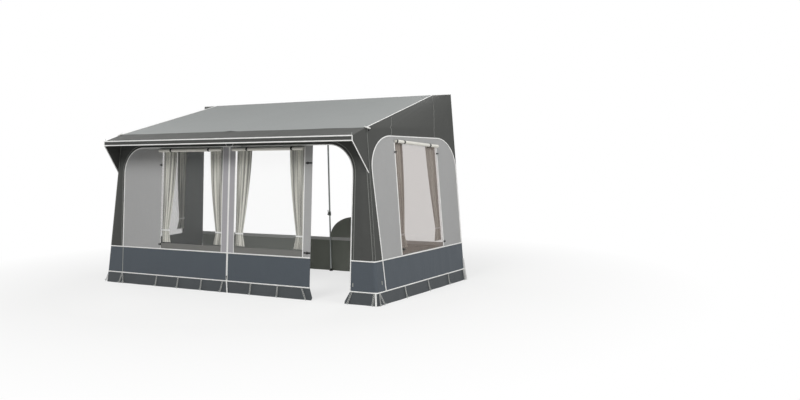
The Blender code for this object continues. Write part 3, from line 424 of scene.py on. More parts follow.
def side(along, z, out=0.0, hand=1):
    """Place on a side wall, along of SIDE_RUN back from its front edge."""
    front_x, front_y = side_front_edge(z)
    rear_x = rear_half_width(z)
    length = math.hypot(rear_x - front_x, GROUND_DEPTH - front_y)
    distance, depth = turned_corner(along / SIDE_RUN * length, z)
    share = distance / max(length, 1e-6)
    roof_gap = (WALL_EAVE + (RAIL_HEIGHT - EAVE_HEIGHT) * along / SIDE_RUN - z) / SLACK_REACH
    near_edge = min(along / SLACK_REACH, (SIDE_RUN - along) / REAR_SLACK_REACH, roof_gap)
    seed = SIDE_SEED * hand
    slack = swell(along, z, seed, near_edge) + ripple(along, z, seed)
    x = front_x + (rear_x - front_x) * share
    y = front_y + (GROUND_DEPTH - front_y) * share
    point = centred(x, y, z) + side_out(z) * (out + slack - depth)
    return Vector((hand * point.x, point.y, point.z))


def mirrored(direction, hand):
    return Vector((hand * direction.x, direction.y, direction.z))


def eave_bump(x, y):
    """The centre pole lifts the cloth a little where it crosses the eave."""
    away = math.hypot(x - ZIP_PLACE, y - EAVE_SETBACK)
    return EAVE_LIFT * math.exp(-(away / EAVE_LIFT_SPREAD) ** 2)


def roof(x, y, out=0.0):
    """The roof hangs between its poles."""
    along = (y - EAVE_SETBACK) / (GROUND_DEPTH - EAVE_SETBACK)
    outer = EAVE_WIDTH / 2 - POLE_EDGE_INSET - ROOF_TAPER * along
    left, right = (-outer, ZIP_PLACE) if x < ZIP_PLACE else (ZIP_PLACE, outer)
    across = (x - left) / (right - left)
    bay = max(0, 4 * across * (1 - across)) * max(0, math.sin(math.pi * along)) ** 1.5
    crease = 1 + 0.35 * noise.noise(Vector((x * 1.6, y * 3.1, 4.2)))
    lift = out + eave_bump(x, y) - sizes().roof_sag * bay * crease
    height = EAVE_HEIGHT + (y - EAVE_SETBACK) * math.tan(ROOF_PITCH)
    return centred(x, y, height) + OUT_ROOF * lift


def canopy(x, y, out=0.0):
    """The canopy slopes down from the eave, with slight waves."""
    height = EAVE_HEIGHT + (y - EAVE_SETBACK) * math.tan(CANOPY_PITCH)
    edge = (CANOPY_WIDTH / 2 - abs(x)) / 0.2
    wave = CANOPY_WAVE * noise.noise(Vector((x * 1.9, y * 8, 9))) * ease(edge)
    return centred(x, y, height) + OUT_CANOPY * (out + eave_bump(x, y) + abs(wave))


def valance(x, z, out=0.0):
    """Hanging edge of the canopy, with a slight wave at its hem."""
    share = (CANOPY_HEIGHT - z) / VALANCE_DROP
    wave = VALANCE_WAVE * share * noise.noise(Vector((x * 3.3, 2.0, 0)))
    return centred(x, -CANOPY_REACH - out - wave, z)


def rear(x, z, out=0.0):
    """Plane of the open back, where the draught skirt hangs with slight folds."""
    fold = 0.5 + 0.5 * math.sin(x * 13 + 2 * noise.noise(Vector((x * 1.3, 6.0, 0))))
    depth = DRAUGHT_FOLD * fold * ease(1 - z / DRAUGHT_FOLD_HEIGHT)
    return centred(x, GROUND_DEPTH - 0.0005 + out + depth, z)


# Flat cutting

def stops(pitch, *places):
    """Even steps from place to place, none longer than the pitch."""
    values = [places[0]]
    for start, end in zip(places, places[1:]):
        count = max(1, math.ceil(abs(end - start) / pitch - 1e-6))
        values += [start + (end - start) * step / count for step in range(1, count + 1)]
    return values


def mixed_stops(*runs):
    """Stops of several runs end to end, each run given as its pitch and its places."""
    values = stops(*runs[0])
    for run in runs[1:]:
        values += stops(*run)[1:]
    return values


def net(us, vs):
    """Flat net whose lines lie at the given places."""
    flat = bmesh.new()
    columns, rows = len(us) - 1, len(vs) - 1
    bmesh.ops.create_grid(flat, x_segments=columns, y_segments=rows, size=1)
    for vertex in flat.verts:
        column = round((vertex.co.x + 1) / 2 * columns)
        row = round((vertex.co.y + 1) / 2 * rows)
        vertex.co = (us[column], vs[row], 0)
    return flat


def fit_edge(flat, still, moving, target):
    """Stretches a net between two of its lines, so that the moving one follows target(v)."""
    for vertex in flat.verts:
        share = (vertex.co.x - still) / (moving - still)
        if share > 0:
            vertex.co.x = still + share * (target(vertex.co.y) - still)


def arc(centre_u, centre_v, radius, start_degrees, end_degrees):
    points = []
    for step in range(ARC_STEPS + 1):
        angle = math.radians(start_degrees + (end_degrees - start_degrees) * step / ARC_STEPS)
        points.append((centre_u + radius * math.cos(angle), centre_v + radius * math.sin(angle)))
    return points


def finely(places):
    """The same line with its places no further apart than the pitch."""
    line_places = [places[0]]
    for (u0, v0), (u1, v1) in zip(places, places[1:]):
        count = max(1, math.ceil(math.hypot(u1 - u0, v1 - v0) / PITCH))
        for step in range(1, count + 1):
            line_places.append((u0 + (u1 - u0) * step / count, v0 + (v1 - v0) * step / count))
    return line_places


def rectangle(left, right, bottom, top):
    return [(left, bottom), (right, bottom), (right, top), (left, top)]


def is_inside(outline, u, v):
    within = False
    for (u0, v0), (u1, v1) in zip(outline, outline[1:] + outline[:1]):
        if (v0 > v) != (v1 > v) and u < u0 + (u1 - u0) * (v - v0) / (v1 - v0):
            within = not within
    return within


def cut(flat, outline, keep):
    """Cuts a net along a closed outline and keeps what lies inside it, or outside."""
    reach = 1.5 * PITCH
    for (u0, v0), (u1, v1) in zip(outline, outline[1:] + outline[:1]):
        near = []
        for face in flat.faces:
            middle = face.calc_center_median()
            if min(u0, u1) - reach < middle.x < max(u0, u1) + reach:
                if min(v0, v1) - reach < middle.y < max(v0, v1) + reach:
                    near.append(face)
        edges = list(dict.fromkeys(edge for face in near for edge in face.edges))
        corners = list(dict.fromkeys(vertex for face in near for vertex in face.verts))
        bmesh.ops.bisect_plane(
            flat, geom=near + edges + corners, dist=1e-5,
            plane_co=(u0, v0, 0), plane_no=(v1 - v0, u0 - u1, 0),
        )
    unwanted = [
        face for face in flat.faces
        if is_inside(outline, *face.calc_center_median().xy) != (keep == "inside")
    ]
    bmesh.ops.delete(flat, geom=unwanted, context="FACES")


def lay(flat, place, facing):
    """Writes the flat places to the cloth's map, puts the cloth in place and turns it to face outwards."""
    layer = flat.loops.layers.uv.new(FLAT_MAP)
    for face in flat.faces:
        for loop in face.loops:
            loop[layer].uv = loop.vert.co.xy
    for vertex in flat.verts:
        vertex.co = place(vertex.co.x, vertex.co.y)
    flat.normal_update()
    if sum(face.normal.dot(facing) * face.calc_area() for face in flat.faces) < 0:
        bmesh.ops.reverse_faces(flat, faces=flat.faces)
    return flat


def patch(us, vs, place, facing):
    return lay(net(us, vs), place, facing)


def flat_area(flat):
    return sum(face.calc_area() for face in flat.faces)


def flat_span(flat):
    us = [vertex.co.x for vertex in flat.verts]
    vs = [vertex.co.y for vertex in flat.verts]
    return max(us) - min(us), max(vs) - min(vs)


def loop_points(centre, first, second, steps):
    """Points round an ellipse, from its two half axes."""
    angles = [2 * math.pi * step / steps for step in range(steps)]
    return [centre + first * math.cos(angle) + second * math.sin(angle) for angle in angles]


# Making of pieces

def joined(parts):
    """One mesh from several."""
    whole = bmesh.new()
    for part in parts:
        mesh = bpy.data.meshes.new("part")
        part.to_mesh(mesh)
        part.free()
        whole.from_mesh(mesh)
        bpy.data.meshes.remove(mesh)
    return whole


def add_piece(name, shape, material, body=ROOM, slot=None, stands_for=(), sewn_to=None):
    """Object from a shape, in the finish of that name. It rides on a body, or on what it is sewn to."""
    limit = math.radians(SHARP_DEGREES)
    for face in shape.faces:
        face.smooth = True
    for edge in shape.edges:
        edge.smooth = edge.is_manifold and edge.calc_face_angle(0) < limit
    mesh = bpy.data.meshes.new(name)
    shape.to_mesh(mesh)
    shape.free()
    mesh.materials.append(finish(material))
    piece = bpy.data.objects.new(name, mesh)
    bpy.context.scene.collection.objects.link(piece)
    if sewn_to:
        piece.parent = bpy.data.objects[sewn_to]
    else:
        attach(piece, body)
    if stands_for:
        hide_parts(*stands_for)
    return piece


def line_with(piece, lining):
    """Gives the inner side of a thickened cloth its own material."""
    piece.data.materials.append(finish(lining))
    piece.modifiers["thickness"].material_offset = 1


def thicken(piece, thickness, offset=-1):
    wall = piece.modifiers.new("thickness", "SOLIDIFY")
    wall.thickness = thickness
    wall.offset = offset
    return piece


def cloth(
    name, flat, place, facing, material, rests_on, thickness=None, lining=None, held="stretched", **roles
):
    """Piece of cloth or film from its flat net: laid in place, thickened and lined."""
    span, area = flat_span(flat), flat_area(flat)
    piece = add_piece(name, lay(flat, place, facing), material, **roles)
    thicken(piece, thickness or sizes().cloth)
    if lining:
        line_with(piece, lining)
    min(area, span[0] * span[1])
    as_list(rests_on)
    return piece


def rod(path, half_width, half_height, outs, sides=8, closed=False):
    """Round or flattened rod along a path. outs is the direction of its height, or one for each point."""
    count = len(path)
    if isinstance(outs, Vector):
        outs = [outs] * count
    rings = []
    for index, point in enumerate(path):
        ahead = path[(index + 1) % count] if closed or index < count - 1 else point
        behind = path[index - 1] if closed or index > 0 else point
        along = (ahead - behind).normalized()
        up = (outs[index] - along * outs[index].dot(along)).normalized()
        rings.append((point, along.cross(up), up))
    if closed:
        rings.append(rings[0])
    shape = bmesh.new()
    columns = len(rings) - 1
    length = sum((end - start).length for start, end in zip(path, path[1:]))
    bmesh.ops.create_grid(shape, x_segments=columns, y_segments=sides, size=1)
    layer = shape.loops.layers.uv.new(FLAT_MAP)
    for face in shape.faces:
        for loop in face.loops:
            u, v = loop.vert.co.xy
            loop[layer].uv = ((u + 1) / 2 * length, (v + 1) * 2 * half_width)
    for vertex in shape.verts:
        point, across, up = rings[round((vertex.co.x + 1) / 2 * columns)]
        angle = math.pi * (vertex.co.y + 1)
        vertex.co = point + across * half_width * math.cos(angle) + up * half_height * math.sin(angle)
    bmesh.ops.remove_doubles(shape, verts=shape.verts, dist=1e-6)
    if not closed:
        rims = [edge for edge in shape.edges if edge.is_boundary]
        bmesh.ops.holes_fill(shape, edges=rims)
    bmesh.ops.recalc_face_normals(shape, faces=shape.faces)
    return shape


def wire(path, radius, out):
    return rod(path, radius, radius, out)


def smooth_path(points, steps):
    """Points along one smooth curve through the given ones."""
    points = [Vector(point) for point in points]
    padded = [points[0]] + points + [points[-1]]
    path = []
    for before, start, end, after in zip(padded, padded[1:], padded[2:], padded[3:]):
        for step in range(steps):
            t = step / steps
            path.append(0.5 * (
                2 * start + (end - before) * t + (2 * before - 5 * start + 4 * end - after) * t * t
                + (3 * start - before - 3 * end + after) * t ** 3
            ))
    return path + [points[-1]]


def turned(profile, placing, segments=32):
    """Shape turned from a profile of (radius, height) about the placing's Z."""
    shape = bmesh.new()
    corners = [shape.verts.new((radius, 0, height)) for radius, height in profile]
    for first, second in zip(corners, corners[1:]):
        shape.edges.new((first, second))
    bmesh.ops.spin(
        shape, geom=shape.verts[:] + shape.edges[:], cent=(0, 0, 0), axis=(0, 0, 1),
        angle=2 * math.pi, steps=segments, use_merge=True,
    )
    bmesh.ops.remove_doubles(shape, verts=shape.verts, dist=1e-6)
    bmesh.ops.recalc_face_normals(shape, faces=shape.faces)
    bmesh.ops.transform(shape, matrix=placing, verts=shape.verts)
    return shape


def box(size, placing, edge=0.0, segments=2):
    """Box with rounded edges."""
    shape = bmesh.new()
    bmesh.ops.create_cube(shape, size=1)
    bmesh.ops.scale(shape, vec=size, verts=shape.verts)
    if edge:
        bmesh.ops.bevel(
            shape, geom=shape.edges[:], offset=edge, segments=segments, affect="EDGES", profile=0.5,
            material=-1,
        )
    bmesh.ops.transform(shape, matrix=placing, verts=shape.verts)
    return shape


def placed(origin, across, up):
    """Placing whose X runs along across and whose Z leans to up."""
    x_axis = across.normalized()
    z_axis = (up - x_axis * up.dot(x_axis)).normalized()
    placing = Matrix((x_axis, z_axis.cross(x_axis), z_axis)).transposed().to_4x4()
    placing.translation = origin
    return placing


# Materials

# Scales of the patterns, in repeats to the metre of cloth or solid
# Soft patches of tone: 450 mm across
TONE_SCALE = 2.2
# Slubs: 110 mm long and 11 mm wide, where real ones are 1 mm wide, so that they show
SLUB_LENGTH_SCALE, SLUB_WIDTH_SCALE = 9.0, 90.0
# Stripes of a curtain: 33 mm wide and 1.4 m long
STRIPE_SCALES = (30.0, 0.7, 1.0)
# Slack creases: 140 mm wide, 450 mm long and a little askew
CREASE_SCALES = (7.0, 2.2, 1.0)
CREASE_TURN = (0.0, 0.0, 0.5)
# Uneven gloss of a solid: patches 70 mm across
WEAR_SCALE = 14.0
# Haze in film: 330 mm across. Ripples in film: 200 mm
HAZE_SCALE = 3.0
RIPPLE_SCALE = 5.0
# One band of a wave texture at scale 1 is this wide, in metres
WAVE_BAND = math.pi / 10


def fill(tree, shader, inputs):
    """Sets a node's inputs, or links those that come from another node."""
    for name, value in inputs.items():
        if isinstance(value, bpy.types.NodeSocket):
            tree.links.new(value, shader.inputs[name])
        else:
            shader.inputs[name].default_value = value


def node(tree, kind, inputs=None, **settings):
    """Adds a shader node with its settings and its inputs."""
    made = tree.nodes.new("ShaderNode" + kind)
    for name, value in settings.items():
        setattr(made, name, value)
    fill(tree, made, inputs or {})
    return made


def blank(name):
    material = bpy.data.materials.new(name)
    material.use_nodes = True
    tree = material.node_tree
    return material, tree, tree.nodes["Principled BSDF"]


def shaded(colour, share):
    return (*(channel * share for channel in colour), 1)


def woven(name, colour, thread, roughness, sheen=0.0, patches=0.10, slubs=0.06, relief=0.12, stripes_and_fold_shade=0.0):
    """Woven cloth: crossing threads, slubs along them, soft patches of tone and, on curtains, uneven striping
    and painted shade where their folds lie deepest.

    The threads are drawn thread metres apart, coarser than real ones, so that they show.
    """
    material, tree, shader = blank(name)
    flat = node(tree, "UVMap", uv_map=FLAT_MAP).outputs["UV"]
    warp, weft = (
        node(
            tree, "TexWave", {"Vector": flat, "Scale": WAVE_BAND / thread, "Distortion": 0.6},
            bands_direction=direction,
        ) for direction in "XY"
    )
    weave = node(tree, "Math", {0: warp.outputs["Fac"], 1: weft.outputs["Fac"]}, operation="MULTIPLY")
    cloud = node(tree, "TexNoise", {"Vector": flat, "Scale": TONE_SCALE, "Detail": 5.0, "Roughness": 0.6})
    streaks = []
    for scales in (
        (SLUB_LENGTH_SCALE, SLUB_WIDTH_SCALE, 1.0), (SLUB_WIDTH_SCALE, SLUB_LENGTH_SCALE, 1.0),
    ):
        stretched = node(tree, "Mapping", {"Vector": flat, "Scale": scales})
        streaks.append(node(
            tree, "TexNoise", {"Vector": stretched.outputs["Vector"], "Scale": 1.0, "Detail": 2.0}
        ))
    slub = node(
        tree, "Math", {0: streaks[0].outputs["Fac"], 1: streaks[1].outputs["Fac"]},
        operation="ADD",
    )
    patched = node(
        tree, "Mix",
        {0: cloud.outputs["Fac"], 6: shaded(colour, 1 - patches), 7: shaded(colour, 1 + patches)},
        data_type="RGBA",
    )
    tone = node(tree, "MapRange", {0: slub.outputs[0], 1: 0.6, 2: 1.4, 3: 1 - slubs, 4: 1 + slubs})
    shades = [node(tree, "MapRange", {0: weave.outputs[0], 1: 0.0, 2: 1.0, 3: 1 - slubs, 4: 1.0})]
    # On curtains: striping of the cloth, and painted shade where the folds lie deepest
    if stripes_and_fold_shade:
        stretched = node(tree, "Mapping", {"Vector": flat, "Scale": STRIPE_SCALES})
        band = node(
            tree, "TexNoise", {"Vector": stretched.outputs["Vector"], "Scale": 1.0, "Detail": 1.0}
        )
        shades.append(node(
            tree, "MapRange",
            {0: band.outputs["Fac"], 1: 0.42, 2: 0.54, 3: 1 - stripes_and_fold_shade, 4: 1.12},
        ))
        # Painted shade: the curtain is darkened where its folds lie furthest in, the recesses as seen from
        # outside
        painted_fold_shade = node(tree, "Attribute", attribute_name=PAINTED_FOLD_SHADE)
        shades.append(node(tree, "MapRange", {0: painted_fold_shade.outputs["Fac"], 3: 1.0, 4: 1 - 1.3 * stripes_and_fold_shade}))
    for shade in shades:
        tone = node(tree, "Math", {0: tone.outputs[0], 1: shade.outputs[0]}, operation="MULTIPLY")
    toned = node(tree, "VectorMath", {0: patched.outputs[2], "Scale": tone.outputs[0]}, operation="SCALE")
    rough = node(tree, "MapRange", {0: cloud.outputs["Fac"], 3: roughness - 0.06, 4: roughness + 0.06})
    bent = node(tree, "Mapping", {"Vector": flat, "Rotation": CREASE_TURN, "Scale": CREASE_SCALES})
    slack = node(
        tree, "TexNoise",
        {"Vector": bent.outputs["Vector"], "Scale": 1.0, "Detail": 2.0, "Distortion": 0.6},
    )
    creases = node(tree, "Bump", {"Height": slack.outputs["Fac"], "Strength": 0.35, "Distance": 0.012})
    bump = node(
        tree, "Bump",
        {
            "Height": weave.outputs[0], "Strength": relief, "Distance": thread / 3,
            "Normal": creases.outputs["Normal"],
        },
    )
    fill(tree, shader, {
        "Base Color": toned.outputs["Vector"], "Roughness": rough.outputs[0],
        "Normal": bump.outputs["Normal"], "Specular IOR Level": 0.35,
    })
    if sheen:
        fill(tree, shader, {"Sheen Weight": sheen, "Sheen Roughness": 0.5})
    return material


def moulded(name, colour, grain, roughness, ior=1.5, variation=0.06, relief=0.1, metallic=0.0):
    """Moulded or drawn solid: a fine grain, with uneven gloss.

    grain is its size in metres, some ten times coarser than a real one, so that it shows close up.
    """
    material, tree, shader = blank(name)
    place = node(tree, "TexCoord").outputs["Object"]
    speck = node(tree, "TexNoise", {"Vector": place, "Scale": 1 / grain, "Detail": 3.0})
    wear = node(tree, "TexNoise", {"Vector": place, "Scale": WEAR_SCALE, "Detail": 4.0})
    mixed = node(
        tree, "Mix",
        {0: wear.outputs["Fac"], 6: shaded(colour, 1 - variation), 7: shaded(colour, 1 + variation)},
        data_type="RGBA",
    )
    rough = node(tree, "MapRange", {0: wear.outputs["Fac"], 3: roughness - 0.08, 4: roughness + 0.08})
    bump = node(tree, "Bump", {"Height": speck.outputs["Fac"], "Strength": relief, "Distance": grain})
    fill(tree, shader, {
        "Base Color": mixed.outputs[2], "Roughness": rough.outputs[0], "Normal": bump.outputs["Normal"],
        "Metallic": metallic,
    })
    if not metallic:
        fill(tree, shader, {"IOR": ior})
    return material


def film_sheet(name, colour, alpha):
    """Soft PVC film: clear and glossy, with a faint haze and slight ripples that bend its shine."""
    material, tree, shader = blank(name)
    flat = node(tree, "UVMap", uv_map=FLAT_MAP).outputs["UV"]
    haze = node(tree, "TexNoise", {"Vector": flat, "Scale": HAZE_SCALE, "Detail": 3.0})
    tint = node(
        tree, "Mix",
        {0: haze.outputs["Fac"], 6: shaded(colour, 0.96), 7: shaded(colour, 1.0)}, data_type="RGBA",
    )
    wave = node(tree, "TexNoise", {"Vector": flat, "Scale": RIPPLE_SCALE, "Detail": 1.0})
    bump = node(tree, "Bump", {"Height": wave.outputs["Fac"], "Strength": 0.3, "Distance": 0.02})
    fill(tree, shader, {
        "Base Color": tint.outputs[2], "Normal": bump.outputs["Normal"], "Roughness": 0.08, "IOR": 1.53,
        "Alpha": alpha,
    })
    return material


FINISHES = {
    # Polyester coated with acrylic: matt, even, with a fine plain weave.
    # Threads drawn at 5 mm, where real ones are 0.5 mm, so that they show.
    "coated_polyester_roof": lambda n: woven(n, colours().roof, 0.005, 0.72, patches=0.05, slubs=0.03),
    "coated_polyester_dark": lambda n: woven(n, colours().corners, 0.005, 0.75, patches=0.08, slubs=0.05),
    "coated_polyester_light": lambda n: woven(n, colours().panels, 0.005, 0.78, patches=0.04, slubs=0.03),
    # Coated inner side of the light panels: the same weave in dark grey, which keeps the light out.
    "coated_polyester_lining": lambda n: woven(n, colours().lining, 0.005, 0.75, patches=0.06, slubs=0.04),
    # Polyester coated with PVC: smoother and a little shiny, so that its waves catch the light.
    # Threads drawn at 4 mm, where real ones are 0.5 mm, so that they show.
    "pvc_coated_skirt": lambda n: woven(
        n, colours().skirt, 0.004, 0.52, patches=0.08, slubs=0.03, relief=0.06
    ),
    "pvc_coated_flap": lambda n: woven(
        n, colours().flap, 0.004, 0.56, patches=0.12, slubs=0.03, relief=0.06
    ),
    "pvc_coated_draught_skirt": lambda n: woven(
        n, colours().draught, 0.004, 0.56, patches=0.10, slubs=0.03, relief=0.06
    ),
    # Uncoated side of the covers: pale, dry and slightly fuzzy. Threads drawn at 4 mm, real ones 0.5 mm.
    "brushed_cover_cloth": lambda n: woven(n, colours().covers, 0.004, 0.85, sheen=0.15, slubs=0.05),
    # Slub polyester curtain: dry cloth with long vertical slubs, uneven striping and painted shade deep in
    # its folds. Threads drawn at 4 mm, real ones 0.8 mm.
    "slub_curtain_cloth": lambda n: woven(
        n, colours().curtains, 0.004, 0.9, sheen=0.25, slubs=0.06, stripes_and_fold_shade=0.5
    ),
    # Soft PVC film: see-through and glossy, tinted at the sides.
    "clear_pvc_film": lambda n: film_sheet(n, colours().film, 0.06),
    "tinted_pvc_film": lambda n: film_sheet(n, colours().side_film, 0.33),
    # Extruded PVC piping: bright white and satin.
    "extruded_pvc_piping": lambda n: moulded(n, colours().piping, 0.004, 0.42, ior=1.53, variation=0.03),
    # Seams bound with tape: dull, and lighter than the dark cloth.
    "bound_seams": lambda n: moulded(n, colours().seams, 0.003, 0.7, variation=0.05),
    # Woven polyester tapes: matt, with threads drawn at 4 mm, real ones 0.5 mm.
    "woven_zip_tape": lambda n: woven(n, colours().tape, 0.004, 0.8, patches=0.04, slubs=0.04),
    "woven_white_tape": lambda n: woven(n, colours().piping, 0.004, 0.8, patches=0.03, slubs=0.03),
    "woven_cream_tape": lambda n: woven(n, linear("#BDBEB6"), 0.004, 0.8, patches=0.04, slubs=0.04),
    "woven_sill_strip": lambda n: woven(n, colours().sill, 0.004, 0.7, patches=0.08, slubs=0.04),
    "woven_black_webbing": lambda n: woven(n, linear("#1E1F20"), 0.004, 0.7, relief=0.3),
    # Zinc-plated steel tube: cool grey metal with a soft gloss.
    "zinc_plated_steel": lambda n: moulded(
        n, colours().steel, 0.003, 0.36, variation=0.10, relief=0.03, metallic=1.0
    ),
    # Moulded nylon with a fine spark-eroded grain.
    "moulded_black_nylon": lambda n: moulded(n, linear("#1B1C1D"), 0.002, 0.48, relief=0.2),
    "moulded_grey_nylon": lambda n: moulded(n, linear("#858C87"), 0.002, 0.45, relief=0.2),
    "moulded_white_plastic": lambda n: moulded(n, linear("#DCDCD8"), 0.002, 0.42, variation=0.03),
    # Moulded rubber: dull and a little dusty.
    "moulded_grey_rubber": lambda n: moulded(n, linear("#B4B5B2"), 0.003, 0.75, ior=1.52, variation=0.10),
    "moulded_black_rubber": lambda n: moulded(n, linear("#232425"), 0.003, 0.8, ior=1.52, variation=0.12),
}


def finish(name):
    """The material of that name, made when it is first asked for."""
    return bpy.data.materials.get(name) or FINISHES[name](name)


def refinish(name, *nodes):
    """Gives carried-over parts their material."""
    for part in nodes:
        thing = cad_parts[part]
        thing.data.materials.clear()
        thing.data.materials.append(finish(name))


# Roof and canopy

def make_roof():
    half = EAVE_WIDTH / 2
    rear_edge = GROUND_DEPTH - BEAD_RADIUS
    flat = net(stops(PITCH, -half, ZIP_PLACE, half), stops(PITCH, EAVE_SETBACK, rear_edge))
    for vertex in flat.verts:
        share = (vertex.co.y - EAVE_SETBACK) / (GROUND_DEPTH - EAVE_SETBACK)
        vertex.co.x *= 1 - share * ROOF_TAPER / half
    cloth(
        "roof_cloth_panel", flat, roof, OUT_ROOF, "coated_polyester_roof",
        rests_on=["left_rafter", "centre_rafter", "right_rafter"], slot="roof_cloth",
        stands_for=["roof_panel"],
    )


def make_canopy():
    half = CANOPY_WIDTH / 2
    flat = net(stops(PITCH, -half, ZIP_PLACE, half), stops(PITCH, -CANOPY_REACH, EAVE_SETBACK))
    for vertex in flat.verts:
        share = (vertex.co.y + CANOPY_REACH) / (EAVE_SETBACK + CANOPY_REACH)
        vertex.co.x *= 1 + share * CANOPY_TAPER / half
    cloth(
        "canopy_cloth", flat, canopy, OUT_CANOPY, "coated_polyester_dark",
        rests_on=["canopy_pole"], slot="dark_cloth", stands_for=["canopy_panel"],
    )
    flat = net(stops(PITCH, -half, half), stops(PITCH / 3, CANOPY_HEIGHT - VALANCE_DROP, CANOPY_HEIGHT))
    cloth(
        "valance_cloth", flat, valance, FORWARD, "coated_polyester_dark", held="hung",
        rests_on=["canopy_cloth"], slot="dark_cloth", stands_for=["front_valance"],
    )


def gusset_edge(v):
    """Front edge of the canopy's end, from its foot on the corner up to the canopy's tip."""
    foot = front(front_half_width(EAVE_HEIGHT - GUSSET_DROP), EAVE_HEIGHT - GUSSET_DROP)
    low_tip = centred(CANOPY_WIDTH / 2, -CANOPY_REACH, CANOPY_HEIGHT - VALANCE_DROP)
    tip = centred(CANOPY_WIDTH / 2, -CANOPY_REACH, CANOPY_HEIGHT)
    if v < GUSSET_BEND_SHARE:
        return foot.lerp(low_tip, v / GUSSET_BEND_SHARE)
    return low_tip.lerp(tip, (v - GUSSET_BEND_SHARE) / (1 - GUSSET_BEND_SHARE))


def gusset_point(u, v, hand):
    """Place on the canopy's end: u from the corner to its front edge, v up its height, as shares."""
    height = EAVE_HEIGHT - GUSSET_DROP * (1 - v)
    corner = front(front_half_width(height), height)
    point = corner.lerp(gusset_edge(v), u)
    return mirrored(point, hand)


def make_gussets():
    reach = EAVE_SETBACK + CANOPY_REACH

    def width(v):
        """Width of the flat triangle at a height."""
        return reach * (GUSSET_FOOT_SHARE + (1 - GUSSET_FOOT_SHARE) * v / GUSSET_DROP)

    for label, hand in HANDS:
        flat = net(stops(PITCH, 0, reach), stops(PITCH, 0, GUSSET_DROP))
        fit_edge(flat, 0, reach, width)

        def place(u, v, hand=hand):
            return gusset_point(u / width(v), v / GUSSET_DROP, hand)

        cloth(
            f"{label}_gusset_cloth", flat, place, Vector((hand, 0, 0)), "coated_polyester_dark",
            rests_on=["canopy_cloth"], slot="dark_cloth", stands_for=[f"{label}_canopy_gusset"],
        )


# Front wall

def front_arch(grown=0.0):
    """Outline of the big arch, from its left foot over the top to its right foot."""
    points = [(ARCH_LEFT - grown, SKIRT_TOP)]
    points += arc(ARCH_LEFT + ARCH_RADIUS, ARCH_SPRING, ARCH_RADIUS + grown, 180, 90)
    points += arc(DOOR_RIGHT - ARCH_RADIUS, ARCH_SPRING, ARCH_RADIUS + grown, 90, 0)
    return points + [(DOOR_RIGHT + grown, SKIRT_TOP)]


def make_surround():
    """Dark corners and head of the front, sewn together where the arch starts to turn."""
    half = FRONT_GROUND_WIDTH / 2
    near_corner = half - 3 * sizes().corner
    stand_ins = dict(slot="dark_cloth", stands_for=["front_surround"])
    for label, hand, edge in (("left", -1, ARCH_LEFT), ("right", 1, DOOR_RIGHT)):
        us = mixed_stops((PITCH, edge, hand * near_corner), (FINE_PITCH, hand * near_corner, hand * half))
        flat = net(us, stops(PITCH, SKIRT_TOP, ARCH_SPRING))
        fit_edge(flat, edge, hand * half, lambda v, hand=hand: hand * front_half_width(v))
        cloth(
            f"front_{label}_corner_cloth", flat, front, OUT_FRONT, "coated_polyester_dark",
            rests_on=[f"{label}_leg_upper"], **stand_ins,
        )
    us = mixed_stops(
        (FINE_PITCH, -half, -near_corner), (PITCH, -near_corner, ARCH_LEFT, DOOR_RIGHT, near_corner),
        (FINE_PITCH, near_corner, half),
    )
    flat = net(us, stops(PITCH, ARCH_SPRING, ARCH_TOP, WALL_HEAD))
    for still, moving in ((ARCH_LEFT, -half), (DOOR_RIGHT, half)):
        fit_edge(flat, still, moving, lambda v, moving=moving: math.copysign(front_half_width(v), moving))
    cut(flat, front_arch(), keep="outside")
    cloth(
        "front_head_cloth", flat, front, OUT_FRONT, "coated_polyester_dark",
        rests_on=["eave_pole"], **stand_ins,
    )


def make_front_panels():
    light = "coated_polyester_light"
    us = stops(PITCH, ARCH_LEFT, *LEFT_WINDOW, ZIP_PLACE)
    flat = net(us, stops(PITCH, SKIRT_TOP, WINDOW_SILL, WINDOW_HEAD, ARCH_TOP))
    cut(flat, rectangle(*LEFT_WINDOW, WINDOW_SILL, WINDOW_HEAD), keep="outside")
    cut(flat, front_arch(), keep="inside")
    lining = "coated_polyester_lining"
    cloth(
        "front_left_panel_cloth", flat, front, OUT_FRONT, light, lining=lining, rests_on=["front_head_cloth"],
        slot="light_cloth", stands_for=["front_left_panel"],
    )
    us = stops(PITCH, ZIP_PLACE, *RIGHT_WINDOW, DOOR_LEFT)
    flat = net(us, stops(PITCH, SKIRT_TOP, WINDOW_SILL, WINDOW_HEAD, ARCH_TOP))
    cut(flat, rectangle(*RIGHT_WINDOW, WINDOW_SILL, WINDOW_HEAD), keep="outside")
    border = add_piece(
        "front_right_panel_cloth", lay(flat, front, OUT_FRONT), light, slot="light_cloth",
        stands_for=["front_right_panel"],
    )
    thicken(border, sizes().cloth)
    line_with(border, lining)
    for label, window, hem in (("left", LEFT_WINDOW, ()), ("right", RIGHT_WINDOW, (border,))):
        flat = net(stops(PITCH, *window), stops(PITCH, WINDOW_SILL, WINDOW_HEAD))
        piece = add_piece(
            f"front_{label}_window_film", lay(flat, front, OUT_FRONT), "clear_pvc_film",
            slot="clear_film", stands_for=[f"front_{label}_window"],
        )
        thicken(piece, sizes().film)
        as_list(hem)


# Side walls

def on_side(places):
    """Flat places on a side wall, from depths and heights."""
    return [(side_share(y, z) * SIDE_RUN, z) for y, z in places]


def side_arch():
    """Outline of the side arch in flat places, from its front foot over the top to its rear foot."""
    radius = SIDE_ARCH_RADIUS
    places = [(SIDE_ARCH_FRONT, SKIRT_TOP)]
    places += arc(SIDE_ARCH_FRONT + radius, SIDE_ARCH_FRONT_TOP - radius, radius, 180, 90)
    places += arc(SIDE_ARCH_REAR - radius, SIDE_SPRING, radius, 90, 0)
    return on_side(places + [(SIDE_ARCH_REAR, SKIRT_TOP)])


def side_window_head(u):
    """Head of the side windows, which falls towards the back."""
    return SIDE_WINDOW_HEAD - SIDE_HEAD_FALL * (u - SIDE_WINDOW[0]) / (SIDE_WINDOW[1] - SIDE_WINDOW[0])


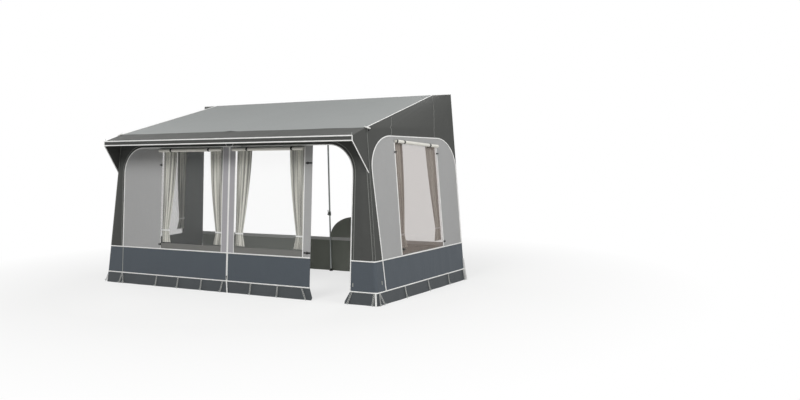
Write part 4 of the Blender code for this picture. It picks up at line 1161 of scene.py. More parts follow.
def make_side(label, hand):
    dark = "coated_polyester_dark"
    outwards = Vector((hand, 0, 0))
    stand_ins = dict(slot="dark_cloth", stands_for=[f"{label}_side_wall"])

    def place(u, v):
        return side(u, v, hand=hand)

    head = RAIL_HEIGHT - 2 * BEAD_RADIUS
    width = side_share(SIDE_ARCH_FRONT, SKIRT_TOP) * SIDE_RUN
    flat = net(stops(FINE_PITCH, 0, width), stops(PITCH, SKIRT_TOP, SIDE_SPRING))
    fit_edge(flat, 0, width, lambda v: side_share(SIDE_ARCH_FRONT, v) * SIDE_RUN)
    cloth(
        f"{label}_side_front_strip", flat, place, outwards, dark,
        rests_on=[f"{label}_leg_upper"], **stand_ins,
    )
    start = side_share(SIDE_ARCH_REAR, SKIRT_TOP) * SIDE_RUN
    flat = net(stops(FINE_PITCH, start, SIDE_RUN), stops(PITCH, SKIRT_TOP, SIDE_SPRING))
    cloth(
        f"{label}_side_rear_strip", flat, place, outwards, dark,
        rests_on=[f"{label}_side_head_cloth"], **stand_ins,
    )
    flat = net(
        mixed_stops((FINE_PITCH, 0, CORNER_RUN), (PITCH, CORNER_RUN, SIDE_RUN)),
        stops(PITCH, SIDE_SPRING, SIDE_ARCH_FRONT_TOP, WALL_EAVE, head),
    )
    cut(flat, side_arch(), keep="outside")
    cloth(
        f"{label}_side_head_cloth", flat, place, outwards, dark, rests_on=[f"{label}_rafter"], **stand_ins
    )
    flat = net(
        stops(PITCH, 0, *SIDE_WINDOW, SIDE_RUN),
        stops(PITCH, SKIRT_TOP, SIDE_WINDOW_SILL, SIDE_WINDOW_HEAD, SIDE_ARCH_FRONT_TOP),
    )
    front_u, rear_u = SIDE_WINDOW
    opening = [(front_u, SIDE_WINDOW_SILL), (rear_u, SIDE_WINDOW_SILL)]
    opening += [(rear_u, side_window_head(rear_u)), (front_u, side_window_head(front_u))]
    cut(flat, opening, keep="outside")
    cut(flat, side_arch(), keep="inside")
    cloth(
        f"{label}_side_panel_cloth", flat, place, outwards, "coated_polyester_light",
        lining="coated_polyester_lining", rests_on=[f"{label}_side_head_cloth"],
        slot="light_cloth", stands_for=[f"{label}_side_panel"],
    )
    flat = net(stops(PITCH, *SIDE_WINDOW), stops(PITCH, SIDE_WINDOW_SILL, SIDE_WINDOW_HEAD))
    for vertex in flat.verts:
        share = (vertex.co.y - SIDE_WINDOW_SILL) / (SIDE_WINDOW_HEAD - SIDE_WINDOW_SILL)
        vertex.co.y = SIDE_WINDOW_SILL + share * (side_window_head(vertex.co.x) - SIDE_WINDOW_SILL)
    cloth(
        f"{label}_side_window_film", flat, place, outwards, "tinted_pvc_film", thickness=sizes().film,
        rests_on=[f"{label}_side_panel_cloth"], slot="clear_film", stands_for=[f"{label}_side_window"],
    )


# Bands along the foot of the walls

def band_run(start, hand):
    """How far a band runs along the front, from where it starts at its lower seam to the corner."""
    return abs(hand * front_half_width(SKIRT_BOTTOM) - start)


def band_turn():
    """How far before and after the corner a band is finely divided."""
    return 1.5 * sizes().corner


def band_stops(run):
    turn = band_turn()
    return mixed_stops(
        (PITCH, 0, run - turn), (FINE_PITCH, run - turn, run, run + turn), (PITCH, run + turn, run + SIDE_RUN)
    )


def band_place(u, v, start, hand):
    """Place on a band that runs from the front round a corner and back along a side."""
    run = band_run(start(SKIRT_BOTTOM), hand)
    if u <= run:
        corner = hand * front_half_width(v)
        return front(start(v) + (corner - start(v)) * u / run, v)
    return side(u - run, v, hand=hand)


def make_band(name, start, hand, bottom, top, material, **roles):
    run = band_run(start(SKIRT_BOTTOM), hand)
    flat = net(band_stops(run), stops(PITCH, bottom, top))

    def place(u, v):
        return band_place(u, v, start, hand)

    facing = (OUT_FRONT + Vector((hand, 0, 0))).normalized()
    return cloth(name, flat, place, facing, material, **roles)


def flap_edge(z, door, flare, rounding):
    """A flap's end by the door flares out at its foot, with a rounded corner."""
    return door + flare * (1 - z / SKIRT_BOTTOM) - rounding * max(0, 1 - z / FLAP_ROUND_HEIGHT) ** 2


def left_flap_edge(z):
    return flap_edge(z, DOOR_LEFT, *LEFT_FLAP_END)


def right_flap_edge(z):
    return flap_edge(z, DOOR_RIGHT, *RIGHT_FLAP_END)


def make_bands():
    skirt, flap = "pvc_coated_skirt", "pvc_coated_flap"
    inner = "coated_polyester_lining"
    for label, hand, start in (("left", -1, ZIP_PLACE), ("right", 1, DOOR_RIGHT)):
        make_band(
            f"{label}_skirt_cloth", lambda z, start=start: start, hand, SKIRT_BOTTOM, SKIRT_TOP, skirt,
            lining=inner, rests_on=[f"{label}_leg_upper"], slot="skirt_cloth", stands_for=[f"{label}_skirt"],
        )
    flat = net(stops(PITCH, ZIP_PLACE, DOOR_LEFT), stops(PITCH, SKIRT_BOTTOM, SKIRT_TOP))
    cloth(
        "centre_skirt_cloth", flat, front, OUT_FRONT, skirt, lining=inner,
        rests_on=["front_left_panel_cloth"], slot="skirt_cloth", stands_for=["centre_skirt"],
    )
    for label, hand, start in (("left", -1, left_flap_edge), ("right", 1, right_flap_edge)):
        make_band(
            f"{label}_flap_cloth", start, hand, FLAP_GROUND_GAP, SKIRT_BOTTOM, flap, held="hung",
            rests_on=[f"{label}_skirt_cloth"], slot="flap_cloth", stands_for=[f"{label}_mud_flap"],
        )


def make_draught_skirt():
    flap = "pvc_coated_draught_skirt"
    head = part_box("draught_skirt")[1].z
    half = rear_half_width(0) - DRAUGHT_END_GAP
    flat = net(stops(PITCH, -half, half), stops(PITCH, 0.001, head))
    for vertex in flat.verts:
        vertex.co.x *= rear_half_width(vertex.co.y) / rear_half_width(0)
    cloth(
        "draught_skirt_cloth", flat, rear, BACK, flap, held="hung",
        rests_on=["left_side_rear_strip", "right_side_rear_strip"], slot="flap_cloth",
        stands_for=["draught_skirt"],
    )
    low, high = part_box("wheel_arch_cover")
    middle, half, rise = (low.x + high.x) / 2, (high.x - low.x) / 2, high.z - low.z
    flat = net(stops(PITCH, middle - half, middle + half), stops(PITCH, low.z, high.z))
    arch = [(middle + half * math.cos(angle), low.z + rise * math.sin(angle)) for angle in (
        math.pi * step / (2 * ARC_STEPS) for step in range(2 * ARC_STEPS + 1)
    )]
    cut(flat, arch, keep="inside")
    cloth(
        "wheel_arch_cover_cloth", flat, rear, BACK, flap, held="hung",
        rests_on=["draught_skirt_cloth"], slot="flap_cloth", stands_for=["wheel_arch_cover"],
    )
    half = rear_half_width(head) - DRAUGHT_TAPE_END_GAP
    tape = patch(
        stops(PITCH, -half, half), [head - DRAUGHT_TAPE_WIDTH, head], lambda u, v: rear(u, v, -STRIP_OUT),
        FORWARD,
    )
    piece = add_piece(
        "draught_skirt_tape", tape, "woven_white_tape", slot="flap_cloth",
        sewn_to="draught_skirt_cloth",
    )
    thicken(piece, sizes().cloth)


# Piping and seams

def piping(paths):
    """White cord in its sleeve, as it stands out along a seam."""
    half = sizes().piping / 2
    return joined([rod(path, half, 0.65 * half, out) for path, out in paths])


def felled(paths):
    """Narrow raised seams."""
    return joined([rod(path, SEAM_HALF_WIDTH, SEAM_RISE, out, sides=6) for path, out in paths])


def on_front(places, out=PIPING_OUT):
    return [front(x, z, out) for x, z in finely(places)]


def along_side(places, hand, out=PIPING_OUT):
    return [side(u, z, out, hand) for u, z in finely(places)]


def band_line(z, start, hand):
    """Line round a corner at a height, from the front to the back, with its directions outwards."""
    run, turn = band_run(start, hand), band_turn()
    points, outs = [], []
    for u in band_stops(run):
        share = ease((u - run + turn) / (2 * turn))
        direction = OUT_FRONT.lerp(mirrored(side_out(z), hand), share).normalized()
        points.append(band_place(u, z, lambda v: start, hand) + direction * PIPING_OUT)
        outs.append(direction)
    return points, outs


def make_front_piping():
    white = "extruded_pvc_piping"
    arch = on_front(front_arch())
    add_piece("front_arch_piping", piping([(arch, OUT_FRONT)]), white, sewn_to="front_head_cloth")
    edge = on_front([(DOOR_RIGHT, SKIRT_BOTTOM), (DOOR_RIGHT, SKIRT_TOP)])
    for label, hand, start in (("left", -1, DOOR_LEFT), ("right", 1, DOOR_RIGHT)):
        paths = [band_line(height, start, hand) for height in (SKIRT_TOP, SKIRT_BOTTOM)]
        upright = on_side([(SIDE_ARCH_FRONT, SKIRT_BOTTOM), (SIDE_ARCH_FRONT, SKIRT_TOP)])
        paths.append((along_side(upright, hand), mirrored(side_out(SKIRT_TOP), hand)))
        if label == "right":
            paths.append((edge, OUT_FRONT))
        add_piece(f"{label}_band_piping", piping(paths), white, sewn_to=f"{label}_skirt_cloth")
    edge = on_front([(RIGHT_WINDOW[1], SKIRT_TOP), (RIGHT_WINDOW[1], WINDOW_HEAD)])
    add_piece("window_piping", piping([(edge, OUT_FRONT)]), white, sewn_to="front_right_window_film")
    half = CANOPY_WIDTH / 2
    paths = []
    for height in (CANOPY_HEIGHT, CANOPY_HEIGHT - VALANCE_DROP):
        hem = [valance(x, height, CANOPY_PIPING_OUT) for x in stops(PITCH, -half, half)]
        paths.append((hem, FORWARD))
    add_piece("canopy_piping", piping(paths), white, sewn_to="valance_cloth")


def make_side_piping():
    white = "extruded_pvc_piping"
    for label, hand in HANDS:
        outwards = mirrored(side_out(WALL_MIDDLE), hand)
        paths = [(along_side(side_arch(), hand), outwards)]
        for u in SIDE_WINDOW:
            paths.append((along_side([(u, SIDE_WINDOW_SILL), (u, side_window_head(u))], hand), outwards))
        add_piece(f"{label}_side_piping", piping(paths), white, sewn_to=f"{label}_side_panel_cloth")
        edge = []
        for y in stops(PITCH, EAVE_SETBACK, GROUND_DEPTH - BEAD_RADIUS):
            share = (y - EAVE_SETBACK) / (GROUND_DEPTH - EAVE_SETBACK)
            edge.append(roof(hand * (EAVE_WIDTH / 2 - ROOF_TAPER * share), y, ROOF_TRIM_OUT))
        add_piece(f"{label}_roof_piping", piping([(edge, OUT_ROOF)]), white, sewn_to="roof_cloth_panel")
        edge = [mirrored(gusset_edge(share), hand) for share in stops(0.04, 0, GUSSET_BEND_SHARE, 1)]
        add_piece(
            f"{label}_gusset_piping", piping([(edge, Vector((hand, 0, 0)))]), white,
            sewn_to=f"{label}_gusset_cloth",
        )


# Seams of the dark side cloth, as shares of the way back and heights
SIDE_SEAMS = (
    ((0.059, 2.127), (0.14, 2.084), (0.216, 2.035), (0.259, 1.988), (0.256, 1.941), (0.254, 1.912)),
    ((0.103, 2.435), (0.483, 2.33), (0.625, 2.223), (0.7, 2.119), (0.747, 2.016), (0.746, 1.885)),
)


def make_seams():
    """Zip line round the arch, and seams beside the corners, in the band and in the dark side cloth."""
    grey = "bound_seams"
    paths = [(on_front(front_arch(grown=RING_GAP), RING_OUT), OUT_FRONT)]
    for hand in (-1, 1):
        near = [(hand * (front_half_width(z) - CORNER_SEAM_INSET), z) for z in (SKIRT_TOP, WALL_HEAD)]
        paths.append((on_front(near, CORNER_SEAM_OUT), OUT_FRONT))
    add_piece("front_seams", felled(paths), grey, sewn_to="front_head_cloth")
    upright = on_front([(ARCH_LEFT, SKIRT_BOTTOM), (ARCH_LEFT, SKIRT_TOP)], SEAM_OUT)
    strip = felled([(upright, OUT_FRONT)])
    add_piece("band_seam", strip, "woven_cream_tape", sewn_to="left_skirt_cloth")
    for label, hand in HANDS:
        outwards = mirrored(side_out(SIDE_SEAM_MIDDLE), hand)
        lines = [[(SIDE_SEAM_INSET, SKIRT_TOP), (SIDE_SEAM_INSET, WALL_EAVE)]]
        lines += [[(share * SIDE_RUN, z) for share, z in seam] for seam in SIDE_SEAMS]
        paths = [(along_side(places, hand, SEAM_OUT), outwards) for places in lines]
        add_piece(f"{label}_side_seams", felled(paths), grey, sewn_to=f"{label}_side_head_cloth")


# Zips, strips and tapes on the front

def front_patch(left, right, bottom, top, out):
    return patch(
        stops(PITCH, left, right), stops(PITCH, bottom, top), lambda u, v: front(u, v, out), OUT_FRONT
    )


def zip_teeth(bottom, top, x):
    """Two rows of teeth that mesh along a zip on the front."""
    teeth = []
    for index in range(int((top - bottom) / TEETH_PITCH)):
        offset = TOOTH_STAGGER if index % 2 else -TOOTH_STAGGER
        origin = front(x + offset, bottom + TEETH_PITCH * (index + 0.5), TEETH_OUT)
        teeth.append(box(TOOTH_SIZE, placed(origin, RIGHT, OUT_FRONT)))
    return joined(teeth)


def add_tape(name, shape, material, home):
    """Woven strip that is sewn flat on a cloth."""
    return thicken(add_piece(name, shape, material, sewn_to=home), sizes().cloth)


def make_centre_zip():
    """Zip down the front with its tapes and flaps, its teeth and the loop at its head."""
    home = "front_left_panel_cloth"
    left, right = LEFT_WINDOW[1], RIGHT_WINDOW[0]
    flaps = [
        front_patch(start, end, SKIRT_TOP, ARCH_TOP, TAPE_OUT) for start, end in (
            (left + EDGING_HALF_WIDTH, ZIP_PLACE - ZIP_FLAP_GAP),
            (ZIP_PLACE + ZIP_FLAP_GAP, right - EDGING_HALF_WIDTH),
        )
    ]
    add_tape("centre_zip_flaps", joined(flaps), "woven_zip_tape", home)
    edging = [
        front_patch(x - EDGING_HALF_WIDTH, x + EDGING_HALF_WIDTH, SKIRT_TOP, ARCH_TOP, STRIP_OUT)
        for x in (left, right)
    ]
    add_tape("centre_zip_edging", joined(edging), "woven_white_tape", home)
    tape = front_patch(
        ZIP_PLACE - ZIP_TAPE_HALF_WIDTH, ZIP_PLACE + ZIP_TAPE_HALF_WIDTH, SKIRT_BOTTOM, ARCH_TOP,
        ZIP_TAPE_OUT,
    )
    add_tape("centre_zip_tape", tape, "woven_white_tape", home)
    add_piece(
        "centre_zip_teeth", zip_teeth(SKIRT_BOTTOM + ZIP_END_GAP, ARCH_TOP, ZIP_PLACE),
        "moulded_white_plastic", sewn_to=home,
    )
    cord = []
    for step in range(17):
        turn = math.pi * (1 + step / 16)
        x = ZIP_PLACE + ZIP_LOOP_HALF_WIDTH * math.cos(turn)
        cord.append(front(x, ZIP_LOOP_HEIGHT + ZIP_LOOP_DROP * math.sin(turn), ZIP_LOOP_OUT))
    loop = wire(cord, CORD_RADIUS, OUT_FRONT)
    add_piece("zip_head_loop", loop, "extruded_pvc_piping", sewn_to=home)


def make_window_zip():
    """Zip along the outer edge of the left window."""
    film = "front_left_window_film"
    x = LEFT_WINDOW[0]
    tape = front_patch(
        x - WINDOW_TAPE_HALF_WIDTH, x + WINDOW_TAPE_HALF_WIDTH, SKIRT_TOP, WINDOW_HEAD, TAPE_OUT
    )
    add_tape("window_zip_tape", tape, "woven_white_tape", film)
    teeth = zip_teeth(SKIRT_TOP + ZIP_END_GAP, WINDOW_HEAD, x)
    add_piece("window_zip_teeth", teeth, "moulded_black_nylon", sewn_to=film)


def make_sill_strips():
    for label, window in (("left", LEFT_WINDOW), ("right", RIGHT_WINDOW)):
        left, right = window[0] + SILL_STRIP_INSET, window[1] - SILL_STRIP_INSET
        strip = front_patch(left, right, *SILL_STRIP_HEIGHTS, STRIP_OUT)
        piece = add_piece(
            f"{label}_sill_strip", strip, "woven_sill_strip", sewn_to=f"front_{label}_window_film"
        )
        thicken(piece, 2 * sizes().cloth)


# Toggles, caps and pole tips

# Toggles: their places on the front, and their shares of the way back with their heights on a side
FRONT_TOGGLES = ((-1.181, 1.592), (-1.172, 0.555), (1.186, 0.552), (1.169, 1.607))
SIDE_TOGGLES = ((0.276, 1.716), (0.757, 1.676), (0.295, 0.569), (0.764, 0.561))
TOGGLE_TAB_HALF = (0.010, 0.015)
TOGGLE_STRAP_HALF_WIDTH = 0.009
TOGGLE_STRAP_OUT = 0.004

# Tabs on the band either side of the right corner: their left, right, bottom and top
FRONT_TAB = (1.831, 1.839, 0.200, 0.242)
SIDE_TAB = (0.102, 0.110, 0.226, 0.268)


def toggle(place, across, out):
    """Bobbin that a loop slips over."""
    profile = [
        (0, -0.018), (0.007, -0.018), (0.010, -0.013), (0.006, -0.005), (0.006, 0.005), (0.010, 0.013),
        (0.007, 0.018), (0, 0.018),
    ]
    return turned(profile, placed(place, out, across), segments=12)


def make_toggles():
    black = "moulded_black_nylon"
    half_width, half_height = TOGGLE_TAB_HALF
    bobbins = [toggle(front(x, z, TOGGLE_OUT), RIGHT, OUT_FRONT) for x, z in FRONT_TOGGLES]
    home = "front_left_panel_cloth"
    add_piece("front_toggles", joined(bobbins), black, slot="black_plastic", sewn_to=home)
    tabs = [
        front_patch(x - half_width, x + half_width, z - half_height, z + half_height, STRIP_OUT)
        for x, z in FRONT_TOGGLES
    ]
    for x, z in FRONT_TOGGLES[2:]:
        tabs.append(front_patch(
            RIGHT_WINDOW[1] + 0.012, DOOR_LEFT, z - TOGGLE_STRAP_HALF_WIDTH, z + TOGGLE_STRAP_HALF_WIDTH,
            TOGGLE_STRAP_OUT,
        ))
    add_tape("front_toggle_tabs", joined(tabs), "woven_black_webbing", home)
    for label, hand in HANDS:
        out = mirrored(side_out(WALL_MIDDLE), hand)
        bobbins, tabs = [], []
        for share, z in SIDE_TOGGLES:
            along = share * SIDE_RUN
            bobbins.append(toggle(side(along, z, TOGGLE_OUT, hand), BACK, out))
            us, vs = [along - half_width, along + half_width], [z - half_height, z + half_height]
            tabs.append(patch(us, vs, lambda u, v, hand=hand: side(u, v, STRIP_OUT, hand), out))
        home = f"{label}_side_panel_cloth"
        add_piece(f"{label}_toggles", joined(bobbins), black, slot="black_plastic", sewn_to=home)
        add_tape(f"{label}_toggle_tabs", joined(tabs), "woven_black_webbing", home)


def make_band_tabs():
    """Two small upright tabs on the band, one each side of the right corner."""
    left, right, bottom, top = SIDE_TAB
    tabs = [front_patch(*FRONT_TAB, TAB_OUT)]
    tabs.append(patch(
        [left, right], [bottom, top], lambda u, v: side(u, v, TAB_OUT), side_out((bottom + top) / 2)
    ))
    add_tape("band_tabs", joined(tabs), "woven_cream_tape", "right_skirt_cloth")


def spike(foot, lean):
    """Tip of a pole's pin, which stands out through an eyelet."""
    up = Vector((lean, 0, 1)).normalized()
    placing = placed(foot, up.orthogonal(), up)
    pin = turned([(0, 0), (0.0022, 0), (0.0022, 0.026), (0, 0.034)], placing, segments=10)
    eyelet = turned([(0, 0), (0.009, 0), (0.009, 0.0015), (0.006, 0.003), (0, 0.003)], placing, segments=16)
    return [pin, eyelet]


def make_pole_tips():
    tips = []
    for hand in (-1, 1):
        x = EAVE_WIDTH / 2 - 0.02
        tips += spike(roof(hand * x, EAVE_SETBACK + 0.005, ROOF_TRIM_OUT), hand * 0.1)
        x = CANOPY_WIDTH / 2 - 0.012
        tips += spike(canopy(hand * x, 0.012 - CANOPY_REACH, ROOF_TRIM_OUT), hand * 0.1)
    tips += spike(roof(ZIP_PLACE, EAVE_SETBACK + 0.002, ROOF_TRIM_OUT), 0)
    add_piece("pole_tips", joined(tips), "zinc_plated_steel", slot="steel")


def make_eave_caps():
    """White cap and black hook at each end of the eave."""
    for label, hand in HANDS:
        corner = roof(hand * EAVE_WIDTH / 2, EAVE_SETBACK, 0.004)
        across = Vector((hand, 0, -0.3)).normalized()
        cap = box((0.078, 0.024, 0.014), placed(corner + across * 0.018, across, UP), 0.004, 3)
        add_piece(f"{label}_eave_cap", cap, "moulded_white_plastic")
        hook = box((0.020, 0.018, 0.030), placed(corner + across * 0.040 - UP * 0.020, across, UP), 0.004, 3)
        add_piece(f"{label}_eave_hook", hook, "moulded_black_nylon", slot="black_plastic")


# Rolled window covers

def make_roll(name, start, end, outward, drop, straps, node_name):
    """Cover wound into a roll, held by straps. drop is how long the cover hangs when it is let down."""
    axis = (end - start).normalized()
    length = (end - start).length
    rise = axis.cross(outward).normalized()
    core, full = ROLL_CORE, ROLL_RADIUS - STRAP_ROOM
    layer = math.pi * (full ** 2 - core ** 2) / drop

    def place(u, v):
        """Place on the roll of a flat place, u along it and v from its core outwards."""
        radius = math.sqrt(core ** 2 + v * layer / math.pi)
        angle = 2 * math.pi * (radius - core) / layer + math.pi / 2
        waist = sum(0.10 * math.exp(-((u - strap) / 0.02) ** 2) for strap in straps)
        around = Vector((math.cos(angle), math.sin(angle), u * 9))
        lump = 1 + 0.05 * noise.noise(around) - waist
        centre = start + axis * u
        return centre + (outward * math.cos(angle) + rise * math.sin(angle)) * radius * lump

    flat = net(stops(PITCH, 0, length), stops(drop / COVER_STEPS, 0, drop))
    piece = add_piece(
        name, lay(flat, place, outward), "brushed_cover_cloth", slot="cover_cloth",
        stands_for=[node_name],
    )
    thicken(piece, 0.55 * layer)
    bands = []
    outs = loop_points(Vector(), outward, rise, 24)
    for strap in straps:
        centre = start + axis * strap
        points = [centre + out * (ROLL_RADIUS - STRAP_SINK) for out in outs]
        bands.append(rod(points, sizes().strap / 2, 0.0009, outs, closed=True))
    belt = add_piece(f"{name}_straps", joined(bands), "woven_black_webbing", slot="black_plastic")


def make_rolls():
    drop = WINDOW_HEAD - WINDOW_SILL
    for label, straps in FRONT_STRAPS.items():
        node_name = f"front_{label}_cover_roll"
        low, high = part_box(node_name)
        ends = [front(x, ROLL_HEIGHT, ROLL_RADIUS + FRONT_ROLL_GAP) for x in (low.x, high.x)]
        places = [x - low.x for x in straps]
        make_roll(f"front_{label}_rolled_cover", *ends, OUT_FRONT, drop, places, node_name)
    drop = SIDE_WINDOW_HEAD - SIDE_WINDOW_SILL
    for label, hand in HANDS:
        out = mirrored(side_out(SIDE_WINDOW_HEAD), hand)
        ends = [
            side(u, side_window_head(u) + SIDE_ROLL_RISE, ROLL_RADIUS + SIDE_ROLL_GAP, hand)
            for u in SIDE_WINDOW
        ]
        make_roll(f"{label}_side_rolled_cover", *ends, out, drop, SIDE_STRAPS, f"{label}_side_cover_roll")


# Curtains

def add_tie_back(node_name, surface, inward, middle):
    """Flat band round a gathered curtain."""
    centre = surface(middle, CURTAIN_TIE_HEIGHT)
    along = (surface(middle + 0.01, CURTAIN_TIE_HEIGHT) - centre).normalized()
    reach = along * (CURTAIN_TIE_WIDTH / 2 + TIE_GAP)
    points = loop_points(centre + inward * CURTAIN_AWAY, reach, inward * TIE_DEPTH, 32)
    outs = [out.normalized() for out in loop_points(Vector(), along, inward * 3, 32)]
    return add_piece(
        f"{node_name}_tie_back", rod(points, 0.010, 0.0012, outs, closed=True),
        "woven_white_tape", body=node_name, slot="curtain_cloth",
    )


def make_curtain(node_name, surface, inward, outer, towards, head_width, head):
    """Gathered curtain with a tie-back. outer is its fixed edge, towards the way that it reaches."""
    width, height = head_width + CURTAIN_GATHER, head - CURTAIN_HEM_HEIGHT
    seed = outer * 3.7

    def fold(u, v):
        """How far the cloth stands inwards at a flat place, from -1 to 1."""
        drift = 0.25 * noise.noise(Vector((u / width * 3, (CURTAIN_HEM_HEIGHT + v) * 1.5, seed)))
        turn = 2 * math.pi * CURTAIN_FOLDS * u / width
        return 0.78 * math.sin(turn + drift) + 0.22 * math.sin(2.3 * turn + 4 * drift + seed)

    def place(u, v):
        across = u / width
        z = CURTAIN_HEM_HEIGHT + v
        if z > CURTAIN_TIE_HEIGHT:
            share = (head - z) / (head - CURTAIN_TIE_HEIGHT)
            reach = head_width + (CURTAIN_TIE_WIDTH - head_width) * share ** 1.6
            depth = sizes().fold * (1 - 0.55 * share ** 3)
        else:
            share = (CURTAIN_TIE_HEIGHT - z) / (CURTAIN_TIE_HEIGHT - CURTAIN_HEM_HEIGHT)
            reach = CURTAIN_TIE_WIDTH + (CURTAIN_HEM_WIDTH - CURTAIN_TIE_WIDTH) * share
            depth = sizes().fold * (0.45 + 0.55 * ease(share))
        shift = 0.10 * reach / CURTAIN_FOLDS * math.sin(4 * math.pi * CURTAIN_FOLDS * across)
        away = CURTAIN_AWAY + 0.5 * depth * fold(u, v)
        return surface(outer + towards * (reach * across + shift), z) + inward * away

    us = stops(width / 100, 0, width)
    flat = net(us, stops(PITCH / 1.3, 0, height))
    # Painted shade: how far in each place of the curtain lies in its folds, which darkens the cloth there
    layer = flat.verts.layers.float.new(PAINTED_FOLD_SHADE)
    for vertex in flat.verts:
        vertex[layer] = 0.5 + 0.5 * fold(vertex.co.x, vertex.co.y)
    piece = add_piece(
        f"{node_name}_cloth", lay(flat, place, -inward), "slub_curtain_cloth", body=node_name,
        slot="curtain_cloth", stands_for=[node_name],
    )
    thicken(piece, CURTAIN_THICKNESS, offset=0)
    flat = net(us, [height - inset for inset in HEADING])
    heading = lay(flat, lambda u, v: place(u, v) + inward * HEADING_OUT, inward)
    heading = add_piece(
        f"{node_name}_heading", heading, "woven_white_tape", body=node_name, slot="curtain_cloth"
    )
    thicken(heading, HEADING_THICKNESS, offset=0)
    hooks = []
    for index in range(CURTAIN_HOOKS):
        spot = place(width * (index + 0.5) / CURTAIN_HOOKS, height - HOOK_DROP) + inward * HOOK_OUT
        hooks.append(box(HOOK_SIZE, Matrix.Translation(spot)))
    hooks = add_piece(
        f"{node_name}_hooks", joined(hooks), "moulded_white_plastic", body=node_name,
        slot="track_plastic",
    )
    tie = add_tie_back(node_name, surface, inward, outer + towards * CURTAIN_TIE_WIDTH / 2)


def make_curtains():
    refinish("moulded_white_plastic", *(
        f"{place}_curtain_track" for place in ("front_left", "front_right", "left_side", "right_side")
    ))
    for label, (start, end), places in (
        ("front_left", LEFT_WINDOW, ("outer", "inner")),
        ("front_right", RIGHT_WINDOW, ("inner", "outer")),
    ):
        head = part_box(f"{label}_{places[0]}_curtain")[1].z
        for place, towards, edge in ((places[0], 1, start), (places[1], -1, end)):
            make_curtain(
                f"{label}_{place}_curtain", front, -OUT_FRONT, edge + towards * CURTAIN_EDGE,
                towards, CURTAIN_HEAD_WIDTH, head,
            )
    for label, hand in HANDS:
        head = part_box(f"{label}_side_front_curtain")[1].z
        out = mirrored(side_out(head), hand)
        for place, towards, edge in (("front", 1, SIDE_WINDOW[0]), ("rear", -1, SIDE_WINDOW[1])):
            make_curtain(
                f"{label}_side_{place}_curtain", lambda u, z, hand=hand: side(u, z, 0, hand), -out,
                edge + towards * CURTAIN_EDGE, towards, SIDE_CURTAIN_HEAD_WIDTHS[place], head,
            )


# Poles and uprights

def make_saddles():
    """Moulded saddles where the roof poles cross the poles along the front, and caps on open ends."""
    saddles, caps = [], []
    for pole, half, pitch in (
        ("eave_pole", EAVE_WIDTH / 2, ROOF_PITCH), ("canopy_pole", CANOPY_WIDTH / 2, CANOPY_PITCH),
    ):
        low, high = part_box(pole)
        middle = (low + high) / 2
        up = Vector((0, -math.sin(pitch), math.cos(pitch)))
        for x in (POLE_EDGE_INSET - half, ZIP_PLACE, half - POLE_EDGE_INSET):
            centre = Vector((x, middle.y, middle.z))
            sleeve = [(0.0128, -0.024), (0.0155, -0.024), (0.0155, 0.024), (0.0128, 0.024), (0.0128, -0.024)]
            saddles.append(turned(sleeve, placed(centre, up, RIGHT), segments=24))
            block = placed(centre + up * POLE_RADIUS, RIGHT, up)
            saddles.append(box((0.030, 0.026, 0.024), block, 0.004, 3))
        for hand, end in ((-1, low.x), (1, high.x)):
            plug = [(0, 0), (0.0135, 0), (0.0145, 0.002), (0.0145, 0.020), (0.0126, 0.021)]
            inwards = placed(Vector((end, middle.y, middle.z)), up, Vector((-hand, 0, 0)))
            caps.append(turned(plug, inwards, segments=24))
    black = "moulded_black_nylon"
    add_piece("pole_saddles", joined(saddles), black, slot="black_plastic")
    add_piece("pole_end_caps", joined(caps), black, slot="black_plastic")


def tube(bore, radius, start, end, placing):
    """Open tube with a small chamfer at each rim."""
    edge = 0.0003
    profile = [
        (bore, start), (radius - edge, start), (radius, start + edge), (radius, end - edge),
        (radius - edge, end), (bore, end), (bore, start),
    ]
    return turned(profile, placing)


def make_upper(label, joint, along, out):
    """Upper tube, and as one piece the clamp at its foot and the cap at its head."""
    placing = placed(joint, out, along)
    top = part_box(f"{label}_upper")[1].z - POLE_RADIUS * math.hypot(along.x, along.y)
    length = (top - joint.z) / along.z
    bore = LOWER_LEG_RADIUS + TUBE_PLAY
    shape = tube(bore, POLE_RADIUS, 0.012, length - 0.001, placing)
    node_name = f"{label}_upper"
    add_piece(f"{label}_upper_tube", shape, "zinc_plated_steel", slot="steel", stands_for=[node_name])
    collar = [
        (bore, 0), (0.0165, 0), (0.0185, 0.0025), (COLLAR_RADIUS, 0.006), (COLLAR_RADIUS, 0.040),
        (0.0175, 0.0425), (0.0175, 0.047), (0.0165, 0.050), (0.0145, 0.060), (0.0128, 0.061),
        (0.0128, 0.013), (bore, 0.013), (bore, 0),
    ]
    cap = [
        (0.0126, length - 0.030), (0.0150, length - 0.029), (0.0155, length - 0.026),
        (0.0155, length - 0.004), (0.0145, length - 0.001), (0, length - 0.0005),
    ]
    parts = [turned(collar, placing), turned(cap, placing)]
    across = out.cross(along)
    for hand in (-1, 1):
        centre = clamp_pivot(joint, along, out) - out * 0.005 + across * hand * 0.0108
        parts.append(box((0.024, 0.0045, 0.018), placed(centre, out, along), 0.0016, 2))
    add_piece(
        f"{label}_clamp", joined(parts), "moulded_grey_nylon", slot="black_plastic",
        stands_for=[node_name],
    )


def clamp_pivot(joint, along, out):
    """Middle of the bolt that a clamp's lever turns on."""
    return joint + along * PIVOT_RISE + out * (COLLAR_RADIUS + PIVOT_OUT)


